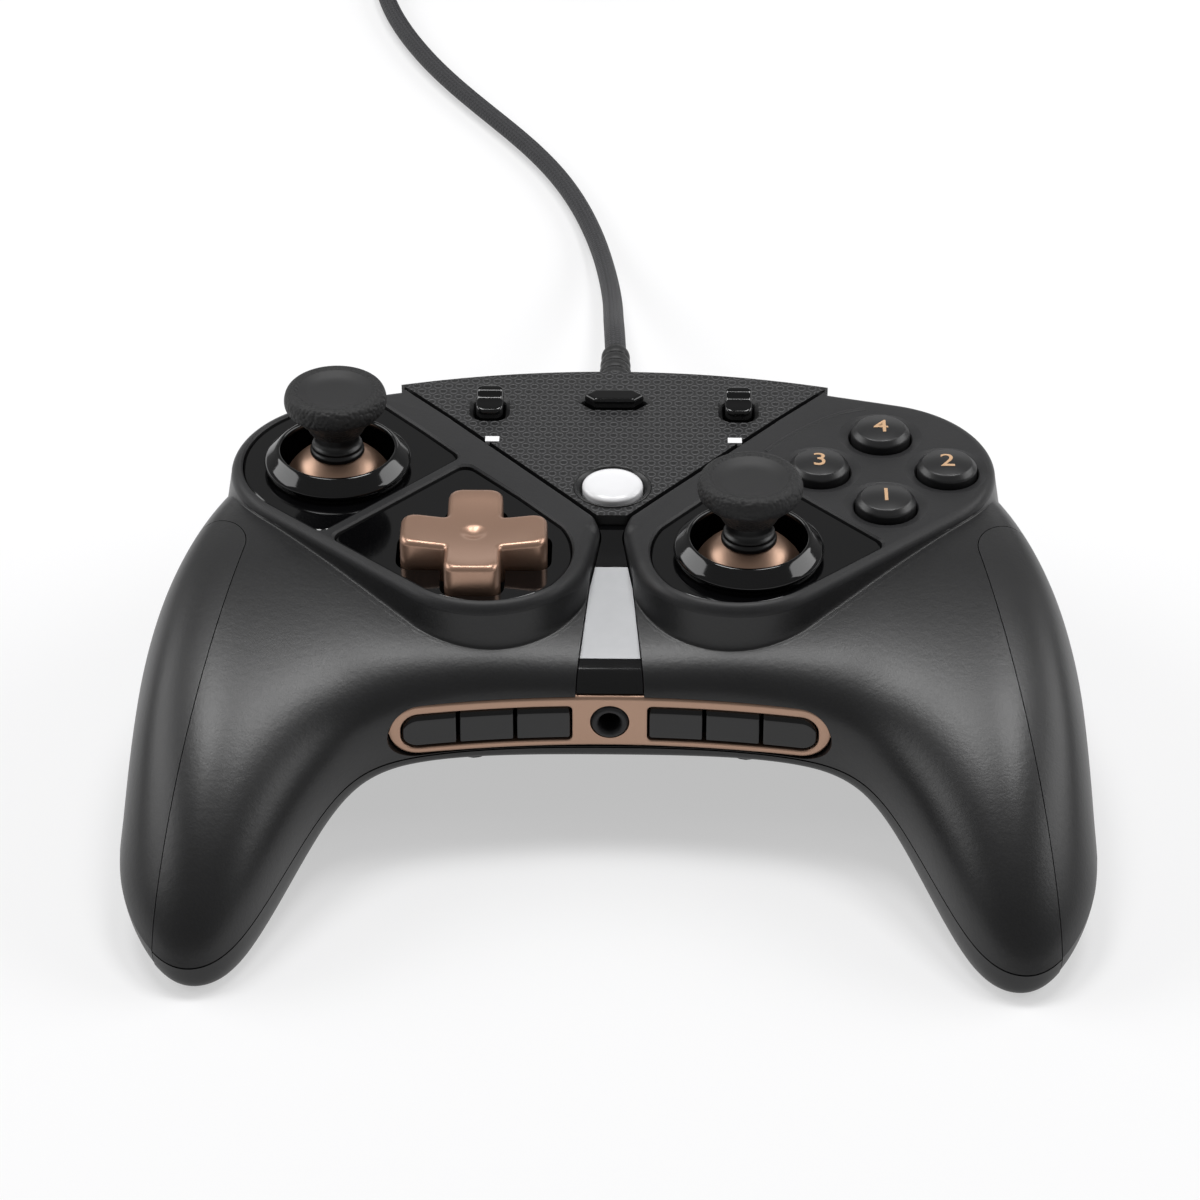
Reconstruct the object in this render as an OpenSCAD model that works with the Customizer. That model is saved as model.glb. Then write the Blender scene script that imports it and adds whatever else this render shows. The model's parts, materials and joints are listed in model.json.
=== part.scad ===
/* [Body] */
// Width across the two grips
body_w = 163; // [156:1:172]
// Depth of the resting plane below the deck
rest_depth = 42; // [41:0.25:43]
// Wall thickness of the moulded shells
wall = 2.2; // [1.8:0.1:2.8]
// Open line between the upper and the lower shell
seam_gap = 0.3; // [0.2:0.05:0.5]
// Thickness of the side grip skins
grip_t = 2.2; // [1.6:0.1:2.8]
// General gap between neighbouring pieces
gap = 0.3; // [0.25:0.05:0.4]

/* [Deck] */
// Distance of the outer control clusters from the middle plane
outer_x = 48.8; // [48:0.1:50]
// Distance of the inner control clusters from the middle plane
inner_x = 23.6; // [22.8:0.1:24.4]
// Spacing of the two rows of controls
row_spacing = 27.5; // [26.5:0.5:28.5]
// Radius of the arc along the rear edge of the deck
rear_arc_r = 150; // [140:1:170]
// Depth of the deck wings
wing_d = 9; // [8:0.25:9.5]
// Width of the rim round each module
rim_w = 2.2; // [1.8:0.1:2.6]
// Width of the bar between the two modules of a wing
web_w = 2.4; // [2:0.1:3]
// Thickness of a module's face plate
plate_t = 2.6; // [2.2:0.1:3]

/* [Sticks] */
// Radius of the stick dome
dome_r = 10.5; // [10:0.1:10.8]
// Diameter of the stick cap
cap_d = 18.2; // [16:0.2:20]
// Height of the cap's rim above the deck
cap_top = 15.6; // [14.5:0.1:17]
// Diameter of the stick shaft
shaft_d = 3; // [2.6:0.1:3.2]
// Diameter of the gimbal pins along X
yoke_pin_d = 2; // [1.6:0.1:2.2]
// Diameter of the gimbal pins along Y
pivot_pin_d = 1.6; // [1.4:0.1:1.8]
// Radial clearance of a running fit
fit = 0.04; // [0.02:0.01:0.08]

/* [Buttons] */
// Diameter of a face button
face_d = 10.6; // [9.8:0.1:11]
// Distance of the face buttons from the middle of their group
face_pitch = 11.3; // [11:0.1:11.6]
// Span of the direction pad
dpad_w = 25.2; // [24:0.2:26]
// Width of one arm of the direction pad
dpad_arm = 9.5; // [8.6:0.1:10]
// Diameter of the home button
guide_d = 10.7; // [9.5:0.1:11.5]
// Diameter of the audio jack's bore
jack_d = 3.6; // [3.5:0.05:3.8]
// Length of the audio jack's bore
jack_len = 14; // [12:0.5:15]

/* [Triggers] */
// Width of a trigger
trigger_w = 22; // [20:0.5:23]
// Distance of a trigger's middle from the middle plane
trigger_x = 43; // [42:0.25:44]
// Diameter of a trigger's hinge pin
trigger_pin_d = 3; // [2.4:0.1:3.4]
// Diameter of a bumper's hinge pin
bumper_pin_d = 2.4; // [2:0.1:2.8]
// Swing of a bumper at its limit
bumper_swing = 2.5; // [2:0.1:3]

/* [Cable] */
// Diameter of the braided cable
cable_d = 4; // [3.6:0.1:4]
// Free gap between neighbouring turns of the coil
turn_gap = 0.5; // [0.45:0.05:0.8]
// Turns in each layer of the coil
coil_turns = 4; // [3:1:4]

/* [Hidden] */
$fn = 48;
coarse = 16;

// The design frame has its origin in the deck's plane, midway between the rows of controls.
// The part frame has the table at zero and the object's depth centred.
deck_y = 15.9;
module place() {
    translate([0, deck_y, rest_depth]) children();
}
module side(sx) {
    mirror([sx < 0 ? 1 : 0, 0, 0]) children();
}
row_y = row_spacing / 2;
tiny = 0.01;

// Housing sections from the middle outwards: distance from the middle plane, front seam point,
// five points over the top, five points under the bottom, rear seam point, each as [y, z].
sections = [
    [0, [-36.5, -25], [[-38, -13.5], [-33, -9], [-12, -5], [15, -4], [45, -3]],
        [[-36, -28], [-26, -30], [5, -38.5], [28, -46.5], [44, -39]], [48, -17]],
    [16, [-36.8, -25], [[-38.5, -13], [-34, -7.5], [-12, -4], [15, -4], [44.5, -3]],
        [[-36, -28], [-26, -30], [5, -38.5], [28, -46.5], [44, -39]], [47.5, -17]],
    [32, [-39, -25], [[-41, -14], [-36, -7], [-14, -4], [12, -4], [42, -3]],
        [[-38, -27.5], [-28, -29.5], [3, -37], [26, -40], [41, -33]], [45, -17]],
    [44, [-43.5, -25.5], [[-46, -16.5], [-38, -8.5], [-16, -3], [10, -3], [36, -3]],
        [[-42, -29], [-32, -33.5], [0, -36], [22, -35], [36, -31]], [41, -17]],
    [52, [-60, -30], [[-59, -21], [-46, -10], [-18, -2.5], [8, -2.5], [31, -3]],
        [[-59, -36], [-42, -40], [-4, -36], [18, -34], [32, -31]], [37, -17]],
    [60, [-79, -35.5], [[-76, -27], [-58, -13], [-24, -2.5], [4, -1.5], [25, -3]],
        [[-79, -43], [-58, -45], [-14, -37], [12, -34], [27, -31]], [32, -18]],
    [67, [-83.5, -37], [[-80.5, -28], [-62, -14], [-28, -3], [-3, -1.5], [17, -3]],
        [[-83.5, -44], [-63, -45], [-20, -37], [4, -34], [18, -31]], [25, -18]],
    [73, [-82, -36.5], [[-79, -30], [-63, -17], [-37, -6], [-16, -3.5], [3, -4]],
        [[-81, -43], [-64, -43], [-33, -37], [-10, -34], [4, -30]], [11, -19]],
    [78, [-75, -34.5], [[-73, -30], [-62, -21], [-45, -12], [-28, -8.5], [-13, -9]],
        [[-74, -38.5], [-62, -39], [-44, -36], [-27, -33], [-12, -29]], [-7, -20]],
    [81, [-67, -32], [[-66, -30], [-59, -26], [-48, -21], [-37, -19], [-26, -19]],
        [[-66, -34], [-59, -34], [-48, -33], [-37, -31], [-26, -28]], [-20, -22]],
    [81.5, [-60, -30], [[-58, -29.2], [-54, -28.3], [-47, -27.2], [-38, -26], [-30, -25.2]],
        [[-58, -30.2], [-54, -29.8], [-47, -29], [-38, -27.6], [-30, -26]], [-26, -25]]
];
last = len(sections) - 1;
net_half_w = sections[last][0];
function wide(x) = x * body_w / 2 / net_half_w;
net_cols = 6;
u_steps = 32;
v_steps = 9;

// Share of an inward offset that each section point takes along Y and along Z, and the extra
// share along Y where the front of a section runs along the inner flank of a grip
inset_y = [1, 1, 0.5, 0, 0, -0.7, -1];
inset_z = [0, 0.6, 0.9, 1, 1, 0.9, 0];
inset_front = [1, 1, 1.3, 2.6, 4, 3.4, 1.6, 1.1, 1, 1, 1];

// Control point of column j in section i, moved inwards by inset, and its seam points past
// the seam by over
function raw_point(i, j, low) =
    let (s = sections[abs(i)])
    j == 0 ? s[1] : j == net_cols ? s[4] : s[low ? 3 : 2][j - 1];
function control(i, j, low, inset, over) =
    let (p = raw_point(i, j, low),
         x = wide(sections[abs(i)][0]) * (1 - 2 * inset / body_w),
         down = low ? 1 : -1,
         share = abs(i) == last ? 0.2 : 1,
         end = j == 0 || j == net_cols)
    [sign(i) * x, p[0] + inset * inset_y[j] * (j < 3 ? inset_front[abs(i)] : 1),
     p[1] + down * (end ? over : share * inset * inset_z[j])];

// Point at t from 0 to 1 on the clamped cubic spline over a row of control points
function limit(k, n) = max(0, min(n - 1, k));
function weights(s) = [pow(1 - s, 3), 3 * s * s * s - 6 * s * s + 4,
                       -3 * s * s * s + 3 * s * s + 3 * s + 1, s * s * s] / 6;
function spline(pts, t) =
    let (n = len(pts), u = t * (n + 1), i = min(floor(u), n), w = weights(u - i))
    w[0] * pts[limit(i - 2, n)] + w[1] * pts[limit(i - 1, n)]
    + w[2] * pts[limit(i, n)] + w[3] * pts[limit(i + 1, n)];

// One section curve of the housing from the front seam to the rear seam
function section_curve(u, low, inset, over) =
    let (row = [for (j = [0:net_cols])
                spline([for (i = [-last:last]) control(i, j, low, inset, over)], u)])
    [for (k = [0:v_steps]) spline(row, k / v_steps)];
function reversed(v) = [for (k = [len(v) - 1:-1:0]) v[k]];
function inner_points(v) = [for (k = [1:len(v) - 2]) v[k]];

// Closed solid through rings of equal length, with triangles between neighbouring rings; flip
// turns their diagonal the other way
module loft(rings, flip) {
    m = len(rings[0]);
    n = len(rings);
    walls = [for (i = [0:n - 2], k = [0:m - 1])
             let (a = i * m + k, b = i * m + (k + 1) % m)
             each flip ? [[a, b, a + m], [b, b + m, a + m]] : [[a, b, b + m], [a, b + m, a + m]]];
    caps = [[for (k = [m - 1:-1:0]) k], [for (k = [0:m - 1]) (n - 1) * m + k]];
    polyhedron([for (r = rings) each r], concat(walls, caps), 10);
}
module upper_solid(inset, over) {
    loft([for (u = [0:u_steps]) section_curve(u / u_steps, false, inset, over)], false);
}
module lower_solid(inset, over) {
    loft([for (u = [0:u_steps]) reversed(section_curve(u / u_steps, true, inset, over))], true);
}
module body_solid(inset) {
    loft([for (u = [0:u_steps])
          concat(section_curve(u / u_steps, false, inset, 0),
                 inner_points(reversed(section_curve(u / u_steps, true, inset, 0))))], false);
}

// Height of the housing's underside at a place in plan
net_x = [for (k = [0:u_steps])
         [spline([for (i = [-last:last]) control(i, 0, true, 0, 0)], k / u_steps)[0], k / u_steps]];
function under_z(x, y) =
    lookup(y, [for (p = section_curve(lookup(x, net_x), true, 0, 0)) [p[1], p[2]]]);

// Deck outlines
rear_y = 45.6;
wing_corners = [[45.8, 14.5, 22], [22.6, -13, 18], [8, -4.5, 5], [38.6, 38.2, 1]];
tile_split = [37.5, 3.75];
tile_split_angle = 43.3;
tile_round = 2;
tile_drop = 0.6;
plate_z = -tile_drop - plate_t;
ledge = 0.8;
face_rim = 1;
face_split = 1.7;
face_web = 1;
far = 120;

// Each tile: whether it is the rear one, its edge's distance from the split line, its rim
stick_tile = [true, web_w / 2, rim_w];
dpad_tile = [false, -web_w / 2, rim_w];
right_tile = [false, -web_w / 2 - face_split, rim_w];
face_tile = [true, face_web - web_w / 2 - face_split, face_rim];
module wing_2d() {
    hull()
        for (c = wing_corners)
            translate([c[0], c[1]]) circle(c[2]);
}
module tile_2d(tile, grow) {
    offset(r = tile_round + grow)
        offset(delta = -tile_round)
            intersection() {
                offset(delta = -tile[2]) wing_2d();
                translate(tile_split)
                    rotate(tile_split_angle)
                        translate([tile[0] ? tile[1] : tile[1] - far, -far / 2]) square([far, far]);
            }
}
panel_gap = 0.5;
panel_front = -2.6;
panel_t = 3.2;
panel_skirt = 1.6;
panel_corner = [46, 50];
panel_tip = 7;
module panel_2d(grow) {
    difference() {
        intersection() {
            translate([0, rear_y - rear_arc_r]) circle(rear_arc_r + grow, $fn = 240);
            polygon([[-panel_corner[0], panel_corner[1]], panel_corner,
                     [panel_tip, panel_front - grow], [-panel_tip, panel_front - grow]]);
        }
        for (sx = [-1, 1])
            side(sx) offset(delta = panel_gap - grow) wing_2d();
    }
}

// Room for the bumpers behind the deck
bumper_z = [-13.4, -4.4];
bumper_in = 3;
bumper_out = 5.5;
bumper_x = [8, 57];
bumper_pin_at = [13, rear_y - rear_arc_r + sqrt(pow(rear_arc_r - 1.8, 2) - 13 * 13)];
bumper_boss_r = bumper_pin_d / 2 + 1.6;
bumper_boss_drop = 0.8;
function arc_angle(x) = asin(x / rear_arc_r);
bumper_reach = PI * rear_arc_r * (arc_angle(bumper_x[1]) - arc_angle(bumper_pin_at[0])) / 180;
bumper_travel = bumper_reach * sin(bumper_swing);
module arc_sweep(x1, x2) {
    translate([0, rear_y - rear_arc_r, 0])
        rotate(90 - arc_angle(x2))
            rotate_extrude(angle = arc_angle(x2) - arc_angle(x1), $fn = 240)
                translate([rear_arc_r, 0]) children();
}
module bumper_pocket(grow) {
    arc_sweep(bumper_x[0] - gap - grow, bumper_x[1] + 2 * gap + grow)
        translate([-bumper_in - bumper_travel - gap - grow, bumper_z[0] - gap - grow])
            square([bumper_in + bumper_travel + 3 * bumper_out,
                    bumper_z[1] - bumper_z[0] + 2 * gap + grow]);
}

// Room for the triggers below the bumpers
hinge = [32.5, -18];
hub_r = trigger_pin_d / 2 + 1.9;
bay_front = 28;
bay_top = bumper_z[0] - gap;
module trigger_bay(grow) {
    translate([trigger_x - trigger_w / 2 - gap - grow, bay_front - grow, -rest_depth - far])
        cube([trigger_w + 2 * gap + 2 * grow, far, rest_depth + far + bay_top + grow]);
}
module trigger_pin(extra) {
    translate([trigger_x - trigger_w / 2 - wall, hinge[0], hinge[1]])
        rotate([0, 90, 0])
            cylinder(d = trigger_pin_d + 2 * extra, h = trigger_w + 2 * wall, $fn = 24);
}

// Side grips lie outside a slanted plane with a round corner at the shoulder
grip_corner = [71.5, -8.5, 8];
grip_front = [78, -100];
module grip_zone(grow) {
    translate([body_w / 2 - net_half_w, 0, -2 * rest_depth])
        linear_extrude(3 * rest_depth)
            offset(delta = grow)
                hull() {
                    translate([grip_corner[0], grip_corner[1]]) circle(grip_corner[2], $fn = 32);
                    translate([far, grip_corner[1]]) circle(grip_corner[2], $fn = 32);
                    translate(grip_front) square([far - grip_front[0], 1]);
                }
}
module side_grip() {
    color("#303032")
        difference() {
            intersection() {
                body_solid(0);
                grip_zone(0);
                translate([-far, -far, -rest_depth]) cube([2 * far, 2 * far, far]);
            }
            body_solid(grip_t);
        }
}
module side_grip_recess() {
    difference() {
        grip_zone(gap / 2);
        body_solid(grip_t + gap / 2);
    }
}

// Screw posts: place in plan, foot of the free lower part, top of the free upper part
post_spots = [[wide(57), -52, -33, -19], [wide(44), -18, -29, -15], [wide(24), 34, -30, -15]];
screw_d = 2.4;
screw_head_d = 4.6;
screw_head_h = 1.8;
screw_seat = -27.5;
screw_tip = -16.5;
post_d = screw_head_d + 2 * gap + 2;
board_t = 1.6;
board_z = -23.2;
lower_post_top = board_z - gap / 3;
upper_post_base = board_z + board_t + gap / 3;
module at_posts() {
    for (sx = [-1, 1], p = post_spots)
        translate([sx * p[0], p[1], 0]) children();
}
module post(d, z1, z2) {
    translate([0, 0, z1]) cylinder(d = d, h = z2 - z1, $fn = coarse);
}

// Front bezel on an arc that opens towards the front
bezel_face = -36.9;
bezel_arc_r = 187;
bezel_t = 3;
bezel_z = -19.6;
bezel_half_w = 37.4;
bezel_h = 10.4;
window_h = 6.4;
window_x = [6.4, 35.4];
window_round = [0.8, 2.8];
front_button_sunk = 0.4;
front_button_gap = 0.5;
flange_t = 1;
flange_lip = 0.6;
jack_boss_r = jack_d / 2 + 1.4;
jack_proud = 0.5;
module bezel_2d(grow) {
    r = bezel_h / 2 + grow;
    hull()
        for (sx = [-1, 1])
            translate([sx * (bezel_half_w + grow - r), 0]) circle(r, $fn = 32);
}
module window_2d() {
    hull()
        for (sz = [-1, 1]) {
            translate([window_x[0] + window_round[0], sz * (window_h / 2 - window_round[0])])
                circle(window_round[0], $fn = 32);
            translate([window_x[1] - window_round[1], sz * (window_h / 2 - window_round[1])])
                circle(window_round[1], $fn = 32);
        }
}
module from_front(y1, y2) {
    translate([0, y2, bezel_z]) rotate([90, 0, 0]) linear_extrude(y2 - y1) children();
}
module bezel_band(r1, r2) {
    intersection() {
        translate([0, bezel_face - bezel_arc_r, bezel_z - bezel_h])
            difference() {
                cylinder(r = r2, h = 2 * bezel_h, $fn = 180);
                translate([0, 0, -1]) cylinder(r = r1, h = 2 * bezel_h + 2, $fn = 180);
            }
        from_front(bezel_face - bezel_h, bezel_face + bezel_h) children();
    }
}

// Strip between the wings: side view of its top face, and its width in plan
strip_path = [[panel_front - gap, -2], [-8, -3.2], [-12, -4.6], [-31.5, -10.2], [-34.2, -13.2]];
strip_t = 2.4;
strip_half_w = [3.1, 6.1];
inlay_t = 0.8;
module strip_2d(grow) {
    y1 = strip_path[0][0];
    y2 = strip_path[4][0];
    difference() {
        polygon([[-strip_half_w[0] - grow, y1 + grow], [strip_half_w[0] + grow, y1 + grow],
                 [strip_half_w[1] + grow, y2 - grow], [-strip_half_w[1] - grow, y2 - grow]]);
        for (sx = [-1, 1])
            side(sx) offset(delta = gap) wing_2d();
    }
}
module strip_slab(pts, t) {
    low = [for (p = reversed(pts)) p - [0, t]];
    intersection() {
        translate([-far / 2, 0, 0])
            rotate([90, 0, 90]) linear_extrude(far) polygon(concat(pts, low));
        translate([0, 0, -far / 2]) linear_extrude(far) strip_2d(0);
    }
}
module centre_strip() {
    color("#101011")
        difference() {
            strip_slab(strip_path, strip_t);
            translate([-far / 2, -far, bezel_z + bezel_h / 2 + gap - far]) cube(far);
            strip_slab([strip_path[2] + [0.1, 1], strip_path[3] + [-0.1, 1]], inlay_t + 1 + gap / 3);
        }
}
module strip_inlay() {
    color("#b9bbbe")
        strip_slab([strip_path[2], strip_path[3]], inlay_t);
}

// Cable exit
cable_z = -7;
relief_r = [cable_d / 2 + 1.6, cable_d / 2 + 0.6];
relief_y = [42.2, 64];
relief_flange_t = 1.5;
relief_ribs = 4;
relief_flange = 1.2;
module relief_hole() {
    translate([0, relief_y[0] - gap, cable_z])
        rotate([-90, 0, 0]) {
            cylinder(r = relief_r[0] + gap / 2, h = far);
            cylinder(r = relief_r[0] + relief_flange + gap, h = relief_flange_t + 2 * gap);
        }
}

// Cuts that both shells share
module shell_cuts() {
    for (sx = [-1, 1])
        side(sx) {
            bumper_pocket(0);
            trigger_bay(0);
            trigger_pin(fit);
            side_grip_recess();
        }
    from_front(bezel_face - far, bezel_face + bezel_h) bezel_2d(gap / 2);
    relief_hole();
}
module stick_room() {
    for (at = [[-left_stick_at[0], left_stick_at[1]], right_stick_at])
        translate([at[0], at[1], can_z - can_floor - gap])
            cylinder(r = can_r + can_wall + gap, h = far, $fn = coarse);
}
module kept_solid() {
    translate([-far, -far, -far - rest_depth + wall]) cube([2 * far, 2 * far, far]);
    for (sx = [-1, 1])
        side(sx) {
            bumper_pocket(wall);
            trigger_bay(wall);
            grip_zone(wall);
        }
}

motor_r = 8;
motor_x = wide(55);
motor_y = [-44.5, -32];
motor_z = -25;
weight_t = 5.6;
weight_r = 8.2;
motor_shaft_d = 2;
cradle_w = 11;
module motor_cradle() {
    difference() {
        translate([motor_x - cradle_w / 2, motor_y[0] + 2, -far])
            cube([cradle_w, 4, far + motor_z - motor_r / 2]);
        translate([motor_x, motor_y[0], motor_z])
            rotate([-90, 0, 0]) cylinder(r = motor_r + gap / 2, h = motor_y[1] - motor_y[0]);
    }
}

module weight_room() {
    for (sx = [-1, 1])
        translate([sx * motor_x, motor_y[1], motor_z])
            rotate([-90, 0, 0]) cylinder(r = weight_r + gap, h = weight_t + 3 * gap, $fn = coarse);
}

module top_shell() {
    color("#2b2b2d")
        difference() {
            union() {
                difference() {
                    upper_solid(0, 0);
                    difference() {
                        upper_solid(wall, wall);
                        kept_solid();
                    }
                }
                intersection() {
                    upper_solid(wall / 2, 0);
                    union() {
                        at_posts() post(post_d, upper_post_base, far);
                        for (sx = [-1, 1])
                            translate([sx * bumper_pin_at[0], bumper_pin_at[1], 0])
                                post(2 * bumper_boss_r, -far, 0);
                    }
                }
                for (sx = [-1, 1], p = post_spots)
                    translate([sx * p[0], p[1], 0]) post(post_d, upper_post_base, p[3]);
            }
            shell_cuts();
            stick_room();
            weight_room();
            for (sx = [-1, 1])
                side(sx) {
                    translate([0, 0, -wing_d - gap / 2])
                        linear_extrude(far) offset(delta = gap / 2) wing_2d();
                    translate([bumper_pin_at[0], bumper_pin_at[1], bumper_z[0] - 3])
                        cylinder(d = bumper_pin_d + 2 * fit, h = far, $fn = 24);
                }
            translate([0, 0, -wing_d - gap / 2])
                linear_extrude(far) panel_2d(panel_gap);
            translate([0, 0, bezel_z + bezel_h / 2 - 1])
                linear_extrude(far) strip_2d(gap / 2);
            at_posts() post(screw_d + 2 * fit, upper_post_base - 1, screw_tip + 0.5);
        }
}

rear_button_w = 6;
rear_button_proud = 1.6;
rear_button_spots = [[23.5, -29.5, -17], [34.5, -27, -14]];
rear_flange = 0.9;
rear_flange_t = 0.9;
rear_flange_back = 4;
module rear_pill(spot, r) {
    hull()
        for (y = [spot[1], spot[2]])
            translate([spot[0], y]) circle(r, $fn = coarse);
}
module under_solid(inset, over) {
    translate([0, 0, -seam_gap]) lower_solid(inset, over);
}
module bottom_shell() {
    color("#242426")
        difference() {
            union() {
                difference() {
                    under_solid(0, 0);
                    difference() {
                        under_solid(wall, wall);
                        kept_solid();
                    }
                }
                intersection() {
                    under_solid(wall / 2, 0);
                    union() {
                        at_posts() post(post_d, -far, lower_post_top);
                        for (sx = [-1, 1])
                            side(sx) motor_cradle();
                    }
                }
                for (sx = [-1, 1], p = post_spots)
                    translate([sx * p[0], p[1], 0]) post(post_d, p[2], lower_post_top);
            }
            translate([-far, -far, -far - rest_depth]) cube([2 * far, 2 * far, far]);
            shell_cuts();
            for (sx = [-1, 1], s = rear_button_spots)
                side(sx)
                    translate([0, 0, -rest_depth])
                        linear_extrude(far) rear_pill(s, rear_button_w / 2 + gap);
            at_posts() {
                post(screw_d + 2 * gap, -far, far);
                post(screw_head_d + 2 * gap, -far, screw_seat);
            }
        }
}

// Deck wings: the frames that take the four control modules
wing_edge = [[0, -0.9], [0.2, -0.4], [0.6, 0]];
module wing(tiles) {
    color("#262628")
        difference() {
            for (e = wing_edge)
                translate([0, 0, -wing_d]) linear_extrude(wing_d + e[1]) offset(delta = -e[0]) wing_2d();
            for (t = tiles) {
                translate([0, 0, plate_z - gap / 3]) linear_extrude(far) tile_2d(t, gap / 2);
                translate([0, 0, -far / 2]) linear_extrude(far) tile_2d(t, -ledge);
            }
            bumper_pocket(0);
        }
}

// The right wing carries the face buttons in four holes over a pocket
module right_wing(at) {
    r = face_d / 2 + face_gap;
    color("#262628")
        difference() {
            wing([right_tile]);
            translate([0, 0, plate_z - far]) linear_extrude(far) tile_2d(face_tile, 0);
            for (d = face_dirs)
                translate([at[0] + face_pitch * d[0], at[1] + face_pitch * d[1], 0]) {
                    translate([0, 0, -far]) cylinder(r = r, h = 2 * far);
                    translate([0, 0, -face_bevel])
                        cylinder(r1 = r, r2 = r + face_bevel, h = face_bevel + tiny);
                }
        }
}

// Centre panel with its buttons
guide_y = 6.5;
menu_at = [22.5, 32.7];
menu_size = [4.9, 6.6];
menu_round = 1.6;
share_y = 35.3;
share_size = [10.9, 3.8];
small_flange = 0.9;
module share_2d() {
    w = share_size[0] / 2;
    h = share_size[1] / 2;
    polygon([[-w, 0], [-w + h, h], [w - h, h], [w, 0], [w - h, -h], [-w + h, -h]]);
}
module menu_2d() {
    offset(r = menu_round)
        square([menu_size[0] - 2 * menu_round, menu_size[1] - 2 * menu_round], center = true);
}
module centre_panel() {
    color("#1c1c1e")
        difference() {
            union() {
                translate([0, 0, -panel_t]) linear_extrude(panel_t) panel_2d(0);
                translate([0, 0, -wing_d])
                    linear_extrude(wing_d - panel_t)
                        difference() {
                            panel_2d(0);
                            offset(delta = -panel_skirt) panel_2d(0);
                        }
            }
            translate([0, guide_y, -far / 2]) cylinder(d = guide_d + 2 * gap, h = far);
            translate([0, guide_y, -far - panel_t])
                cylinder(r = guide_d / 2 + small_flange + gap, h = far);
            for (sx = [-1, 1])
                translate([sx * menu_at[0], menu_at[1], -far / 2])
                    linear_extrude(far) offset(delta = gap) menu_2d();
            translate([0, share_y, -far / 2]) linear_extrude(far) offset(delta = gap) share_2d();
            relief_hole();
            for (sx = [-1, 1])
                side(sx) {
                    bumper_pocket(0);
                    translate([bumper_pin_at[0], bumper_pin_at[1], -far])
                        cylinder(d = bumper_pin_d + 2 * fit, h = far - panel_t / 2);
                }
        }
}
flange_top = -panel_t - gap;
module guide_button() {
    color("#e9e9e6")
        translate([0, guide_y, 0])
            rotate_extrude()
                polygon([[0, flange_top - 1.2], [guide_d / 2 + small_flange, flange_top - 1.2],
                         [guide_d / 2 + small_flange, flange_top], [guide_d / 2, flange_top],
                         [guide_d / 2, 0.5], [guide_d / 2 - 0.5, 0.9], [guide_d / 4, 1.2], [0, 1.3]]);
}
menu_profile = [[-3.3, 0.9], [-2.4, 1.6], [-0.4, 1.9], [1.5, 3.0], [2.6, 3.1], [3.3, 2.4]];
module menu_key() {
    color("#151516")
        translate([menu_at[0], menu_at[1], 0]) {
            intersection() {
                translate([0, 0, flange_top]) linear_extrude(far) menu_2d();
                translate([-menu_size[0], 0, 0])
                    rotate([90, 0, 90])
                        linear_extrude(2 * menu_size[0])
                            scale([menu_size[1] / 6.6, 1])
                                polygon(concat([[3.3, flange_top - 1], [-3.3, flange_top - 1]],
                                               menu_profile));
            }
            translate([0, 0, flange_top - 1.2]) linear_extrude(1.2) offset(delta = small_flange) menu_2d();
        }
}
module share_button() {
    color("#151516")
        translate([0, share_y, 0]) {
            translate([0, 0, flange_top]) linear_extrude(1 - flange_top) share_2d();
            translate([0, 0, 1 - tiny]) linear_extrude(0.5) offset(delta = -0.5) share_2d();
            translate([0, 0, flange_top - 1.2]) linear_extrude(1.2) offset(delta = small_flange) share_2d();
        }
}

// Bezel, its six keys and the audio jack
module front_bezel() {
    color("#b08d78")
        difference() {
            bezel_band(bezel_arc_r, bezel_arc_r + bezel_t) bezel_2d(0);
            for (sx = [-1, 1])
                side(sx) from_front(bezel_face - far / 2, bezel_face + far / 4) window_2d();
            translate([0, bezel_face + bezel_h, bezel_z])
                rotate([90, 0, 0]) cylinder(r = jack_boss_r + gap / 2, h = 2 * bezel_h);
        }
}
module front_key(i) {
    side_i = i < 3 ? -1 : 1;
    slot = i < 3 ? 2 - i : i - 3;
    pitch = (window_x[1] - window_x[0]) / 3;
    x1 = window_x[0] + slot * pitch;
    color("#1f1f21")
        side(side_i) {
            bezel_band(bezel_arc_r + front_button_sunk, bezel_arc_r + bezel_t + gap + flange_t)
                intersection() {
                    offset(delta = -gap) window_2d();
                    translate([x1 + front_button_gap / 2, -window_h])
                        square([pitch - front_button_gap, 2 * window_h]);
                }
            bezel_band(bezel_arc_r + bezel_t + gap, bezel_arc_r + bezel_t + gap + flange_t)
                translate([x1 + front_button_gap / 2 + gap, -window_h / 2 - flange_lip])
                    square([pitch - front_button_gap - 2 * gap, window_h + 2 * flange_lip]);
        }
}
module audio_jack() {
    color("#161617")
        translate([0, bezel_face - jack_proud, bezel_z])
            rotate([-90, 0, 0])
                difference() {
                    union() {
                        cylinder(r = jack_boss_r, h = jack_len + 1.5);
                        translate([-jack_boss_r - 0.6, -jack_boss_r, bezel_t + 1.5])
                            cube([2 * jack_boss_r + 1.2, 2 * jack_boss_r, jack_len - bezel_t]);
                    }
                    translate([0, 0, -1]) cylinder(d = jack_d, h = jack_len + 1);
                }
}

// Open tray under a module's plate, inside the wing
tray_wall = 0.8;
tray_floor = 1.2;
module tray(tile, inset, top) {
    difference() {
        translate([0, 0, -wing_d]) linear_extrude(wing_d + top) tile_2d(tile, -inset);
        difference() {
            translate([0, 0, tray_floor - wing_d]) linear_extrude(wing_d) tile_2d(tile, -inset - tray_wall);
            bumper_pocket(gap + tray_wall);
        }
        bumper_pocket(gap);
    }
}

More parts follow.
